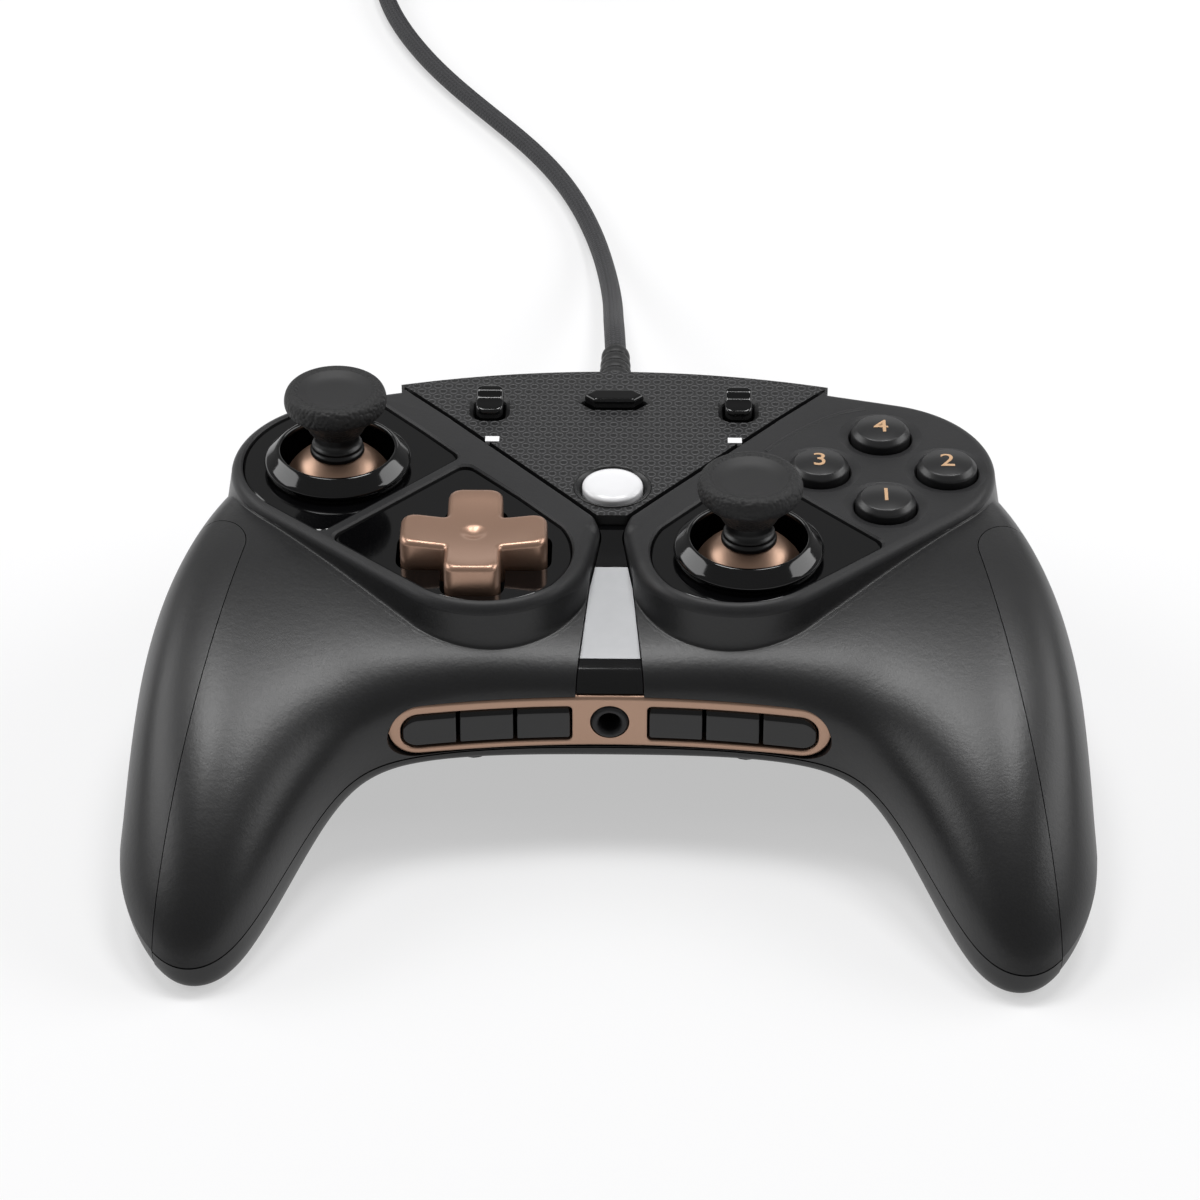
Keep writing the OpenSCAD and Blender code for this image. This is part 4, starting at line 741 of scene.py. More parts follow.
housing = {
    "width": 163.0, "wall": 2.2, "seam": 0.3, "gap": 0.3, "skin": 2.2, "rest": 42.0,
    # reach of cuts past the whole body and past the deck; points along and across the body
    "far": 120.0, "through": 60.0, "along": 281, "across": 61, "coarse": (141, 31),
    # from the middle outwards: distance, front seam point, five points over the top, five points
    # under the bottom, rear seam point, each as (y, z)
    "sections": [
        (0, (-36.5, -25), [(-38, -13.5), (-33, -9), (-12, -5), (15, -4), (45, -3)],
         [(-36, -28), (-26, -30), (5, -38.5), (28, -46.5), (44, -39)], (48, -17)),
        (16, (-36.8, -25), [(-38.5, -13), (-34, -7.5), (-12, -4), (15, -4), (44.5, -3)],
         [(-36, -28), (-26, -30), (5, -38.5), (28, -46.5), (44, -39)], (47.5, -17)),
        (32, (-39, -25), [(-41, -14), (-36, -7), (-14, -4), (12, -4), (42, -3)],
         [(-38, -27.5), (-28, -29.5), (3, -37), (26, -40), (41, -33)], (45, -17)),
        (44, (-43.5, -25.5), [(-46, -16.5), (-38, -8.5), (-16, -3), (10, -3), (36, -3)],
         [(-42, -29), (-32, -33.5), (0, -36), (22, -35), (36, -31)], (41, -17)),
        (52, (-60, -30), [(-59, -21), (-46, -10), (-18, -2.5), (8, -2.5), (31, -3)],
         [(-59, -36), (-42, -40), (-4, -36), (18, -34), (32, -31)], (37, -17)),
        (60, (-79, -35.5), [(-76, -27), (-58, -13), (-24, -2.5), (4, -1.5), (25, -3)],
         [(-79, -43), (-58, -45), (-14, -37), (12, -34), (27, -31)], (32, -18)),
        (67, (-83.5, -37), [(-80.5, -28), (-62, -14), (-28, -3), (-3, -1.5), (17, -3)],
         [(-83.5, -44), (-63, -45), (-20, -37), (4, -34), (18, -31)], (25, -18)),
        (73, (-82, -36.5), [(-79, -30), (-63, -17), (-37, -6), (-16, -3.5), (3, -4)],
         [(-81, -43), (-64, -43), (-33, -37), (-10, -34), (4, -30)], (11, -19)),
        (78, (-75, -34.5), [(-73, -30), (-62, -21), (-45, -12), (-28, -8.5), (-13, -9)],
         [(-74, -38.5), (-62, -39), (-44, -36), (-27, -33), (-12, -29)], (-7, -20)),
        (81, (-67, -32), [(-66, -30), (-59, -26), (-48, -21), (-37, -19), (-26, -19)],
         [(-66, -34), (-59, -34), (-48, -33), (-37, -31), (-26, -28)], (-20, -22)),
        (81.5, (-60, -30), [(-58, -29.2), (-54, -28.3), (-47, -27.2), (-38, -26), (-30, -25.2)],
         [(-58, -30.2), (-54, -29.8), (-47, -29), (-38, -27.6), (-30, -26)], (-26, -25))],
    # share of an inward offset that each point of a section takes along y and z, the factor along y for
    # a section's first points where they run along the inner flank of a grip, and the share at the tips
    "insetY": (1, 1, 0.5, 0, 0, -0.7, -1), "insetZ": (0, 0.6, 0.9, 1, 1, 0.9, 0),
    "insetFront": (1, 1, 1.3, 2.6, 4, 3.4, 1.6, 1.1, 1, 1, 1), "frontPoints": 3,
    "endShare": 0.2,
}
deckForm = {"rearY": 45.6, "arcR": 150.0, "wingDeep": 9.0, "wingMiddle": (38.0, 10.0),
            "wing": [(45.8, 14.5, 22), (21.6, -13, 18), (7.1, -5.8, 5), (38.6, 38.2, 1)],
            "panelGap": 0.5, "panelFront": -2.6, "panelCorner": (46.0, 50.0), "panelTip": 7.0,
            "stripY": (-2.9, -40.0), "stripHalf": (2.3, 6.0), "stripLow": -15.4}
bumperForm = {"z": (-13.4, -4.4), "inside": 3.0, "outside": 5.5, "x": (8.0, 57.0), "pinX": 13.0,
              "swing": 2.5}
triggerForm = {"x": 43.0, "w": 22.0, "front": 28.0}
gripForm = {"circles": [(71.5, -8.5, 8), (120, -8.5, 8), (78, -100, 0), (120, -100, 0)],
            "middle": (100.0, -50.0)}
bezelForm = {"z": -19.6, "h": 10.4, "half": 37.4, "face": -36.9, "arcR": 187.0, "t": 3.0}
reliefForm = {"y": (42.2, 64.0), "z": -7.0, "r": (3.6, 2.6), "flange": 1.2, "flangeT": 1.5,
              # ribs, depth of the grooves, plain lengths before and after the ribs, points along them
              "ribs": 6, "groove": 0.55, "plain": (2.6, 0.4), "steps": 181}
rearForm = {"spots": [(23.5, -29.5, -17.0), (34.5, -27.0, -14.0)], "half": 3.0}
screwForm = {"spots": [(57, -52, -33), (44, -18, -29), (24, 34, -30)], "headR": 2.6, "postR": 3.6,
             "seat": -27.5, "top": -23.3, "shaftR": 1.5}
sides = (1, -1)


def bodyGrid(low, inset=0.0, over=0.0, counts=None):
    # clamped cubic spline both ways over the sections and their mirror images, moved inwards
    rows = housing["sections"]
    points = np.array([[r[1]] + list(r[3 if low else 2]) + [r[4]] for r in rows], float)
    down = 1 if low else -1
    early = np.arange(points.shape[1]) < housing["frontPoints"]
    front = np.where(early, np.array(housing["insetFront"], float)[:, None], 1)
    share = np.where(np.arange(len(rows)) == len(rows) - 1, housing["endShare"], 1)[:, None]
    lift = share * inset * np.array(housing["insetZ"], float)
    lift[:, [0, -1]] = over
    x = np.array([r[0] for r in rows], float)[:, None] * (1 - 2 * inset / housing["width"])
    half = np.stack([np.broadcast_to(x, lift.shape), points[..., 0] + inset * np.array(
        housing["insetY"]) * front, points[..., 1] + down * lift], -1)
    whole = np.concatenate([half[:0:-1] * (-1, 1, 1), half])
    along, across = counts or (housing["along"], housing["across"])
    ways = splineBasis(len(whole), along), splineBasis(whole.shape[1], across)
    return np.einsum("ui,ijk,vj->uvk", ways[0], whole, ways[1])


def ringSolid(name, rings, merge=True):
    # closed solid through rings of equal length with a flat end at each side
    rows, cols = rings.shape[:2]
    faces = gridFaces(rows, cols, closeCols=True).tolist()
    faces += [list(range(cols))[::-1], list(range((rows - 1) * cols, rows * cols))]
    return clean(newMesh(name, rings.reshape(-1, 3), faces), merge)


def bodySolid(name, inset=0.0, counts=None):
    # upper and lower skin as one ring per section; inset tips keep their doubled points
    over, under = bodyGrid(False, inset, 0, counts), bodyGrid(True, inset, 0, counts)
    return ringSolid(name, np.concatenate([over, under[:, -2:0:-1]], 1), merge=inset == 0)


def arcSweep(name, x0, x1, profile, side, steps=48):
    # a profile of (outwards, height) carried round the arc of the deck's rear edge
    r = deckForm["arcR"]
    angle = np.linspace(math.asin(x0 / r), math.asin(x1 / r), steps)[:, None]
    out, z = np.asarray(profile, float).T
    rings = np.stack([side * (r + out) * np.sin(angle), deckForm["rearY"] - r + (r + out) * np.cos(angle),
                      np.broadcast_to(z, (steps, len(z)))], -1)
    return ringSolid(name, rings)


def bumperPocket(side, grow):
    # room along the rear arc for a bumper and its swing
    form, gap, r = bumperForm, housing["gap"], deckForm["arcR"]
    reach = r * (math.asin(form["x"][1] / r) - math.asin(form["pinX"] / r))
    deep = -form["inside"] - reach * math.sin(math.radians(form["swing"])) - gap - grow
    low, high, out = form["z"][0] - gap - grow, form["z"][1] + gap, 3 * form["outside"]
    return arcSweep("pocket", form["x"][0] - gap - grow, form["x"][1] + 2 * gap + grow,
                    [(deep, low), (out, low), (out, high), (deep, high)], side)


def triggerBay(side, grow):
    # block of room for a trigger, below the bumper and open to the rear
    form, gap = triggerForm, housing["gap"]
    half = form["w"] / 2 + gap + grow
    ends = sorted((side * (form["x"] - half), side * (form["x"] + half)))
    return box("bay", (ends[0], form["front"] - grow, -2 * housing["far"]),
               (ends[1], housing["far"], bumperForm["z"][0] - gap + grow))


def gripPrism(side, grow):
    # a grip skin's zone from above, the hull of circles beside the body, carried upright
    outline = convexOutline(*circlesPlanes(gripForm["circles"]), gripForm["middle"], -grow, count=480)
    return prism("grip_zone", flip(outline, side), -2 * housing["rest"], housing["rest"])


def gripRecess(side):
    # the body's outer layer inside that zone
    zone = gripPrism(side, housing["gap"] / 2)
    return cut(zone, bodySolid("inside", housing["skin"] + housing["gap"] / 2, housing["coarse"]))


def wingOutline(inset=0.0, count=360):
    # hull of the wing's circles, moved inwards
    return convexOutline(*circlesPlanes(deckForm["wing"]), deckForm["wingMiddle"], inset, count=count)


def wingPrism(side, grow, low, high):
    # the wing's outline carried upright
    return prism("wing_room", flip(wingOutline(-grow), side), low, high)


def panelBlock(grow, low, high):
    # the trapezoid between the wings, ended by the arc of the rear edge
    corner, tip, front = deckForm["panelCorner"], deckForm["panelTip"], deckForm["panelFront"] - grow
    block = prism("panel_room", [(-corner[0], corner[1]), (-tip, front), (tip, front), corner], low, high)
    r = deckForm["arcR"]
    return common(block, prism("arc", circle(r + grow, (0, deckForm["rearY"] - r), 480), low - 1, high + 1))


def stripPrism(grow, low, high):
    # the trapezoid from the panel's tip down to the bezel, carried upright
    (y0, y1), (a, b) = deckForm["stripY"], deckForm["stripHalf"]
    return prism("strip_room", [(-a - grow, y0 + grow), (a + grow, y0 + grow), (b + grow, y1 - grow),
                                (-b - grow, y1 - grow)], low, high)


def bezelOutline(grow, count=240):
    # a slot shape: the hull of two circles
    r = bezelForm["h"] / 2
    ends = [(x * (bezelForm["half"] - r), 0, r) for x in sides]
    return convexOutline(*circlesPlanes(ends), (0, 0), -grow, count=count)


def reliefHole():
    # a stepped bore for the strain relief, turned round the cord's axis
    form, gap = reliefForm, housing["gap"]
    deep, wide = form["y"][0] - gap, form["r"][0] + form["flange"] + gap
    neck, seat = form["r"][0] + gap / 2, deep + form["flangeT"] + 2 * gap
    profile = [(0, deep), (wide, deep), (wide, seat), (neck, seat), (neck, 90), (0, 90)]
    return revolve("relief_room", profile, (0, 0, form["z"]), "y", 48)


def shellCuts():
    # what both shells leave open: bezel, strain relief, bumpers, triggers and grip skins
    front = bezelOutline(housing["gap"] / 2) + (0, bezelForm["z"])
    back = bezelForm["face"] + bezelForm["h"]
    cuts = [prism("bezel_room", front, -housing["far"], back, "y"), reliefHole()]
    for side in sides:
        cuts += [bumperPocket(side, 0), triggerBay(side, 0), gripRecess(side)]
    return cuts


def hollow(low, drop):
    # the space inside a shell's wall, less the walls round the pockets, bays and grip recesses
    wall, far = housing["wall"], housing["far"]
    grid = bodyGrid(low, wall, wall, housing["coarse"]) - (0, 0, drop)
    space = ringSolid("space", grid)
    kept = [box("floor_slab", (-far, -far, -far), (far, far, wall - housing["rest"]))]
    for side in sides:
        kept += [bumperPocket(side, wall), triggerBay(side, wall), gripPrism(side, wall)]
    return cut(space, *kept)


def makeShells():
    # each shell is its half of the body less its hollow and cuts; a skin is the outer layer
    gap, deep, far = housing["gap"], -deckForm["wingDeep"] - housing["gap"] / 2, housing["far"]
    top = cut(ringSolid("top_moulding", bodyGrid(False)), hollow(False, 0), *shellCuts())
    for side in sides:
        cut(top, wingPrism(side, gap / 2, deep, far))
    cut(top, panelBlock(deckForm["panelGap"], deep, far), stripPrism(gap / 2, deckForm["stripLow"], far))
    dress(smooth(top), looks["shell"], "top_shell")
    base = cut(ringSolid("bottom_moulding", bodyGrid(True) - (0, 0, housing["seam"])),
               hollow(True, housing["seam"]))
    for side in sides:
        for x, y, foot in screwForm["spots"]:
            join(base, prism("post", circle(screwForm["postR"], (side * x, y)), foot, screwForm["top"]))
            cut(base, prism("bore", circle(screwForm["headR"], (side * x, y)), -far, screwForm["seat"]),
                prism("shaft_bore", circle(screwForm["shaftR"], (side * x, y)), -far, far))
        for x, y0, y1 in rearForm["spots"]:
            pill = convexOutline(*circlesPlanes([(x, y, rearForm["half"] + gap) for y in (y0, y1)]),
                                 (x, (y0 + y1) / 2), count=96)
            cut(base, prism("pill", flip(pill, side), -far, -housing["rest"] + far))
    cut(base, box("table", (-far, -far, -far), (far, far, -housing["rest"])), *shellCuts())
    dress(smooth(base), looks["under"], "bottom_shell")
    for side, name in ((1, "right"), (-1, "left")):
        skin = cut(bodySolid(name + "_grip_skin"), bodySolid("inside", housing["skin"], housing["coarse"]))
        above = box("above_table", (-far, -far, -housing["rest"]), (far, far, far))
        common(skin, gripPrism(side, 0), above)
        dress(smooth(skin), looks["grip"], name + "_grip")
    print("shells made")


makeShells()


# Deck wings, the collars that run from the shell up to them, and the module plates

wingForm = {"drop": 0.6, "plate": 2.6, "ledge": 0.8, "lip": 0.35, "around": 520, "edgeSteps": 10,
            # collar: width, slope, blend with the shell, how far its rim is sunk, lap over the wing's
            # edge, thickness, share of its width where it starts to fade, rings and points
            "collar": 2.4, "slope": 6.0, "blend": 1.8, "sink": 0.06, "lap": 0.3, "collarT": 1.2,
            "fadeFrom": 0.7, "collarGrid": (24, 480),
            # reach of the rounded edge: in general, along the panel, and what is added beside the strip
            "edge": 2.0, "panelEdge": 0.3, "stripEdge": 1.6, "panelRim": 4.2, "innerR": 16.8,
            "panelWay": (-0.766, 0.643), "stripWay": (-1.0, 0.03), "innerWay": (-0.98, -0.19)}
split = {"at": (37.5, 3.75), "angle": 43.3, "round": 2.0}
# each tile: rear side of the split line or not, its edge's distance from that line, its rim,
# a middle point
tiles = {"stick": (True, 1.2, 2.2, (48.8, 13.75)), "dpad": (False, -1.2, 2.2, (23.6, -13.75)),
         "right": (False, -2.9, 2.2, (23.6, -13.75)), "face": (True, -1.9, 1.0, (48.8, 13.75))}
faceForm = {"at": (47.8, 12.65), "pitch": 11.3, "r": 5.3, "gap": 0.3, "bevel": (1.9, 0.5), "top": 1.7,
            "crown": 0.6, "chamfer": 0.9, "flange": (0.5, 1.1), "holeZ": (-20, 3),
            "dirs": [(0, -1), (1, 0), (-1, 0), (0, 1)]}
faceSpots = [(faceForm["at"][0] + faceForm["pitch"] * dx, faceForm["at"][1] + faceForm["pitch"] * dy, 0)
             for dx, dy in faceForm["dirs"]]
plateZ = -wingForm["drop"] - wingForm["plate"]


def tileOutline(tile, inset=0.0, count=240):
    # the wing's outline moved in by the rim, cut by the split line, with round corners
    rear, edge, rim, middle = tiles[tile]
    way = np.array([math.cos(math.radians(split["angle"])), math.sin(math.radians(split["angle"]))])
    normals, distances = circlesPlanes(deckForm["wing"])
    turn = -1 if rear else 1
    normals = np.vstack([normals, turn * way])
    distances = distances - rim - wingForm["panelRim"] * np.clip(
        normals[:-1] @ wingForm["panelWay"], 0, 1) ** 6
    arc = (normals[:-1] @ wingForm["innerWay"] > 0.6) & (not rear)
    inner = normals[:-1] @ middle + np.where(arc, wingForm["innerR"], 99)
    distances = np.append(np.minimum(distances, inner), turn * (way @ split["at"] + edge))
    return convexOutline(normals, distances, middle, inset, split["round"], count)


def tilePocket(tile, side):
    # room for a plate, with a small slope at its upper edge, and the smaller opening below it
    gap, lip = housing["gap"], wingForm["lip"]
    profile = [(-gap / 2, plateZ - gap / 3), (-gap / 2, -lip), (-gap / 2 - lip, 0),
               (-gap / 2 - 2 * lip, lip)]
    room = slab("tile_room", lambda inset: flip(tileOutline(tile, inset), side), profile)
    below = prism("tile_below", flip(tileOutline(tile, wingForm["ledge"]), side), -housing["through"], 0)
    return room, below


def quarter(radius, steps=8):
    # (inset, drop) pairs over a rounded edge, from its foot to its top
    turn = np.linspace(0, math.pi / 2, steps)
    return [(radius * (1 - math.cos(t)), radius * (math.sin(t) - 1)) for t in turn]


def wingRing(count):
    # the wing's outline, its outward normals, and the reach of its rounded edge at each point
    outline = wingOutline(0, count)
    way = np.roll(outline, -1, 0) - np.roll(outline, 1, 0)
    normals = np.stack([way[:, 1], -way[:, 0]], -1) / np.linalg.norm(way, axis=1)[:, None]
    flat = rise(normals @ wingForm["panelWay"], 0.5, 0.999)
    reach = wingForm["edge"] + (wingForm["panelEdge"] - wingForm["edge"]) * flat
    return outline, normals, reach + wingForm["stripEdge"] * rise(normals @ wingForm["stripWay"], 0.7, 0.99)


def makeWing(side, name, pocketTiles):
    # rings of the outline go up the wall and in over its rounded edge, less the tiles
    outline, normals, reach = wingRing(wingForm["around"])
    rings = [np.column_stack([outline, np.full(len(outline), -deckForm["wingDeep"])])]
    for inset, drop in quarter(1.0, wingForm["edgeSteps"]):
        rings.append(np.column_stack([outline - normals * (reach * inset)[:, None], reach * drop]))
    wing = ringSolid(name + "_frame", flip(np.array(rings), side))
    for tile in pocketTiles:
        cut(wing, *tilePocket(tile, side))
    if name == "right_wing":
        cut(wing, prism("face_room", tileOutline("face"), plateZ - housing["through"], plateZ))
        r, (wide, deep), (low, high) = faceForm["r"] + faceForm["gap"], faceForm["bevel"], faceForm["holeZ"]
        for at in faceSpots:
            cut(wing, revolve("hole", [(0, low), (r, low), (r, -deep - 0.3), (r + 0.2, -deep),
                                       (r + wide, 0.02), (r + wide, high), (0, high)], at))
    cut(wing, bumperPocket(side, 0))
    dress(smooth(wing, 14), looks["wing"], name)


raster = {"counts": (281, 161), "y": (-60, 46), "steps": 425}


def shellRaster():
    # heights of the upper shell on a raster: one row for each section, even steps along y
    grid = bodyGrid(False, counts=raster["counts"])
    rasterY = np.linspace(*raster["y"], raster["steps"])
    rising = np.arange(raster["counts"][1]) * 1e-6
    heights = np.array([np.interp(rasterY, np.maximum.accumulate(row[:, 1]) + rising, row[:, 2])
                        for row in grid])
    return grid[:, 0, 0], rasterY, heights


rasterX, rasterY, rasterZ = shellRaster()


def shellHeight(x, y):
    # bilinear reading of the raster
    i = np.clip(np.searchsorted(rasterX, x) - 1, 0, len(rasterX) - 2)
    j = np.clip(np.searchsorted(rasterY, y) - 1, 0, len(rasterY) - 2)
    s = np.clip((x - rasterX[i]) / (rasterX[i + 1] - rasterX[i]), 0, 1)
    t = np.clip((y - rasterY[j]) / (rasterY[j + 1] - rasterY[j]), 0, 1)
    return ((1 - s) * ((1 - t) * rasterZ[i, j] + t * rasterZ[i, j + 1])
            + s * ((1 - t) * rasterZ[i + 1, j] + t * rasterZ[i + 1, j + 1]))


def smoothMax(a, b, reach):
    # the larger of two heights, rounded where they come within reach of each other
    h = np.maximum(reach - np.abs(a - b), 0) / reach
    return np.maximum(a, b) + h * h * reach / 4


def makeCollar(side, name):
    # skin round a wing: a steep slope falls from its edge and runs out in a hollow on the shell
    rows, count = wingForm["collarGrid"]
    steps = wingForm["collar"] * np.linspace(0, 1, rows) ** 1.4
    outline, normals, reach = wingRing(count)
    rings = outline[None] + normals[None] * steps[:, None, None]
    height = shellHeight(rings[..., 0], rings[..., 1])
    slope = -reach[None, :] - wingForm["slope"] * steps[:, None]
    over = np.minimum(smoothMax(height, slope, wingForm["blend"]), wingForm["lap"] - reach[None, :])
    fade = rise(steps / wingForm["collar"], wingForm["fadeFrom"], 1.0)[:, None]
    over = over * (1 - fade) + (height - wingForm["sink"]) * fade
    upper = np.dstack([rings, over])
    lower = np.dstack([rings, np.minimum(over, height) - wingForm["collarT"]])[::-1]
    skin = np.concatenate([upper, lower]).reshape(-1, 3)
    return clean(newMesh(name + "_collar", flip(skin, side), gridFaces(2 * rows, count, True, True)))


def makeCollars():
    # both collars, less the strip, the panel, the bumpers and the grip skins
    gap, far = housing["gap"], housing["far"]
    for side, name in ((1, "right_wing"), (-1, "left_wing")):
        collar = makeCollar(side, name)
        cut(collar, box("other_half", (min(0, -side * far), -far, -far), (max(0, -side * far), far, far)),
            stripPrism(gap / 2, -far, far), panelBlock(deckForm["panelGap"], -far, far),
            bumperPocket(side, 0), gripPrism(side, gap / 2))
        dress(smooth(collar, 50), looks["shell"], rides="top_shell")


def plate(name, tile, side, hole):
    # a module's face plate with a small round at its upper edge
    top = -wingForm["drop"]
    piece = slab(name, lambda inset: flip(tileOutline(tile, inset), side),
                 [(0, plateZ), (0, top - 0.35), (0.1, top - 0.12), (0.35, top)])
    return cut(piece, hole)


trayForm = {"wall": 0.8, "floor": 1.2}


def tray(name, tile, side):
    # open tray below a plate
    inset, deep = wingForm["ledge"] + housing["gap"], -deckForm["wingDeep"]
    piece = prism(name, flip(tileOutline(tile, inset), side), deep, plateZ)
    room = flip(tileOutline(tile, inset + trayForm["wall"]), side)
    return cut(piece, prism("inside", room, deep + trayForm["floor"], 0))


for side, name, pockets in ((-1, "left_wing", ("stick", "dpad")), (1, "right_wing", ("right",))):
    makeWing(side, name, pockets)
makeCollars()
print("wings made")


# Thumb sticks: bowl ring and can, bronze dome, black neck, rubber cap

stickForm = {"pivot": -7.0, "domeR": 10.5, "domeT": 1.0, "canR": 11.0, "canWall": 0.8, "canZ": -16.5,
             "canFloor": 1.5, "ringTop": 3.4, "ringR": (9.9, 13.0), "neckR": 3.8, "neckTop": 9.0,
             "collarR": 4.8, "capR": 9.1, "capTop": 15.6, "shaftR": 1.5}
sticks = {"left_stick": ("stick", -1, (-48.8, 13.75)), "right_stick": ("right", 1, (23.6, -13.75))}


def stickRing(name, at):
    # truncated bowl with a rolled lip, and the can below it that takes the gimbal
    f, (inner, outer), top = stickForm, stickForm["ringR"], stickForm["ringTop"]
    can, wall, low, foot = f["canR"], f["canWall"], f["canZ"], -wingForm["drop"] - 0.4
    bowl = rounded([(can + wall, foot), (outer - 0.9, foot), (outer - 0.8, -0.2), (outer + 0.1, 0.7),
                    (outer - 0.2, 1.4), (outer - 2.0, top - 0.3), (outer - 2.4, top), (inner + 0.3, top),
                    (inner, top - 0.6), (inner + 0.4, top - 1.6), (can, top - 2.4)],
                   [0, 0.1, 0.5, 0.5, 0.5, 0.4, 0.3, 0.3, 0.5, 0.8, 0], 9)
    base = low - f["canFloor"]
    pot = [(can, low), (0, low), (0, base), (can + wall, base), (can + wall, foot)]
    return revolve(name, np.vstack([bowl, pot]), at + (0,), steps=160)


def makeStick(name, tile, side, at):
    # plate and bowl stand still; dome, neck and cap are profiles turned round the stick's axis
    f, far = stickForm, housing["through"]
    hole = prism("hole", circle(f["canR"] + f["canWall"], at, 160), -far, far)
    dress(smooth(plate(name + "_plate", tile, side, hole), 14), looks["gloss"], name + "_module")
    dress(smooth(stickRing(name + "_bowl", at), 50), looks["gloss"], name + "_module")
    turn = np.radians(np.linspace(2, 90, 40))
    outer = f["domeR"] * np.stack([np.cos(turn), np.sin(turn)], -1)
    inner = (1 - f["domeT"] / f["domeR"]) * outer[::-1]
    dome = revolve(name + "_dome", np.vstack([outer, inner, outer[:1]]), at + (f["pivot"],), steps=128)
    dress(smooth(dome, 60), looks["bronze"], name)
    top = f["pivot"] + f["domeR"]
    neck = rounded([(0, f["pivot"] - 5.5), (f["shaftR"], f["pivot"] - 5.5), (f["shaftR"], top - 0.7),
                    (f["collarR"], top - 0.9), (f["collarR"], top - 0.2), (f["collarR"] - 0.5, top + 0.3),
                    (f["neckR"] + 0.8, top + 0.7), (f["neckR"], top + 1.4), (f["neckR"], f["neckTop"]),
                    (0, f["neckTop"])], [0, 0, 0, 0.1, 0.3, 0.5, 0.6, 0.8, 0.1, 0])
    dress(smooth(revolve(name + "_neck", neck, at + (0,), steps=96), 50), looks["satinBlack"], name,
          slotName="pivot_plastic")
    cap, high, r = f["capTop"], f["neckTop"], f["capR"]
    half = rounded([(0, high + 0.1), (f["neckR"] + 0.1, high + 0.1), (f["neckR"] + 0.1, high - 2),
                    (f["neckR"] + 0.9, high - 2), (f["neckR"] + 1.7, high - 0.4), (r - 1.4, high + 1.9),
                    (r - 0.2, high + 3), (r, cap - 2.2), (r - 0.5, cap - 0.6), (r - 1.7, cap),
                    (r - 2.8, cap - 0.4), (r / 2, cap - 1.15), (0, cap - 1.3)],
                   [0, 0, 0.2, 0.3, 1.2, 1.4, 1.2, 1.2, 0.9, 0.9, 1.2, 1.5, 0], 8)
    piece = smooth(revolve(name + "_top", half, at + (0,), steps=160), 60)
    dress(piece, looks["rubber"], name + "_cap")
    piece.data.materials.append(looks["capTop"])
    middle = np.zeros(len(piece.data.polygons) * 3)
    piece.data.polygons.foreach_get("center", middle)
    middle = (middle.reshape(-1, 3) - world(at + (0,))) / mm
    flat = (np.hypot(middle[:, 0], middle[:, 1]) < r - 2.6) & (middle[:, 2] > high + 3)
    piece.data.polygons.foreach_set("material_index", flat.astype(int))


for name, (tile, side, at) in sticks.items():
    makeStick(name, tile, side, at)
print("sticks made")


# Keys with a shaped top: walls rise to a height that depends on the place, with a rounded edge

def keySolid(name, outline, base, edge, height, at, fill=24):
    # rings of an outline go up, in over the rounded edge, and then shrink towards the middle
    rings = [np.column_stack([outline(0), np.full(len(outline(0)), base)])]
    for inset, drop in quarter(edge, 7):
        flat = outline(inset)
        rings.append(np.column_stack([flat, height(flat) + drop]))
    flat = outline(edge)
    for share in np.linspace(1, 0, fill + 1)[1:-1]:
        rings.append(np.column_stack([flat * share, height(flat * share)]))
    return ringSolid(name, np.array(rings) + np.append(at, 0))


# Direction pad: a rounded cross with a dished top and a round dimple, rocking in its plate

padForm = {"at": (-23.6, -13.75), "half": 12.6, "arm": 4.75, "round": 2.6, "inner": 0.8, "gap": 0.8,
           "base": -3.4, "top": 4.6, "edge": 1.1, "dishR": 60.0, "dish": 1.0, "dimpleR": 2.6,
           "dimple": 0.6, "roomR": 5.2, "room": 1.0}


def crossOutline(inset=0.0, count=320):
    # twelve corners of a cross, the eight outer ones and the four inner ones rounded
    a, b = padForm["arm"] - inset, padForm["half"] - inset
    corners = np.array([(x * c - y * s, x * s + y * c) for c, s in ((1, 0), (0, 1), (-1, 0), (0, -1))
                        for x, y in ((a, -b), (a, -a), (b, -a))], float)
    start = (corners[-1] + corners[0]) / 2
    outer, inner = padForm["round"] - 0.7 * inset, padForm["inner"] + inset
    line = rounded(np.vstack([start, corners, start]), [0] + [outer, inner, outer] * 4 + [0], 9)
    return resample(line[:-1], count, closed=True)


def dishHeight(flat):
    # a shallow bowl under a flat limit, with a small round dimple in the middle
    r = np.linalg.norm(flat, axis=-1)
    bowl = padForm["top"] - padForm["dish"] + r ** 2 / (2 * padForm["dishR"])
    limit = -smoothMax(-bowl, np.full_like(bowl, -padForm["top"]), 0.3)
    return limit - padForm["dimple"] * np.clip(1 - (r / padForm["dimpleR"]) ** 2, 0, 1) ** 2


def makePad():
    # the cross less its room for the hub, its plate with a gap round it, and a tray below
    f, far = padForm, housing["through"]
    pad = keySolid("cross_pad", crossOutline, f["base"], f["edge"], dishHeight, f["at"], 60)
    cut(pad, prism("room", circle(f["roomR"], f["at"]), -far, f["room"]))
    dress(smooth(pad, 40), looks["padBronze"], "dpad")
    hole = prism("hole", crossOutline(-f["gap"]) + f["at"], -far, far)
    dress(smooth(plate("pad_plate", "dpad", -1, hole), 14), looks["gloss"], "dpad_module")
    base = cut(tray("pad_tray", "dpad", -1), bumperPocket(-1, housing["gap"]))
    dress(smooth(base), looks["satinBlack"], "dpad_module")
    print("pad made")


makePad()


# Face buttons with plain numerals laid on their domes

numeralForm = {"size": 5.6, "lift": 0.06, "deep": 0.5, "bold": 0.02}


def domeHeight(r):
    # top of a face button at a radius: a shallow cap
    return faceForm["top"] + faceForm["crown"] * (1 - (r / (faceForm["r"] - faceForm["chamfer"])) ** 2)


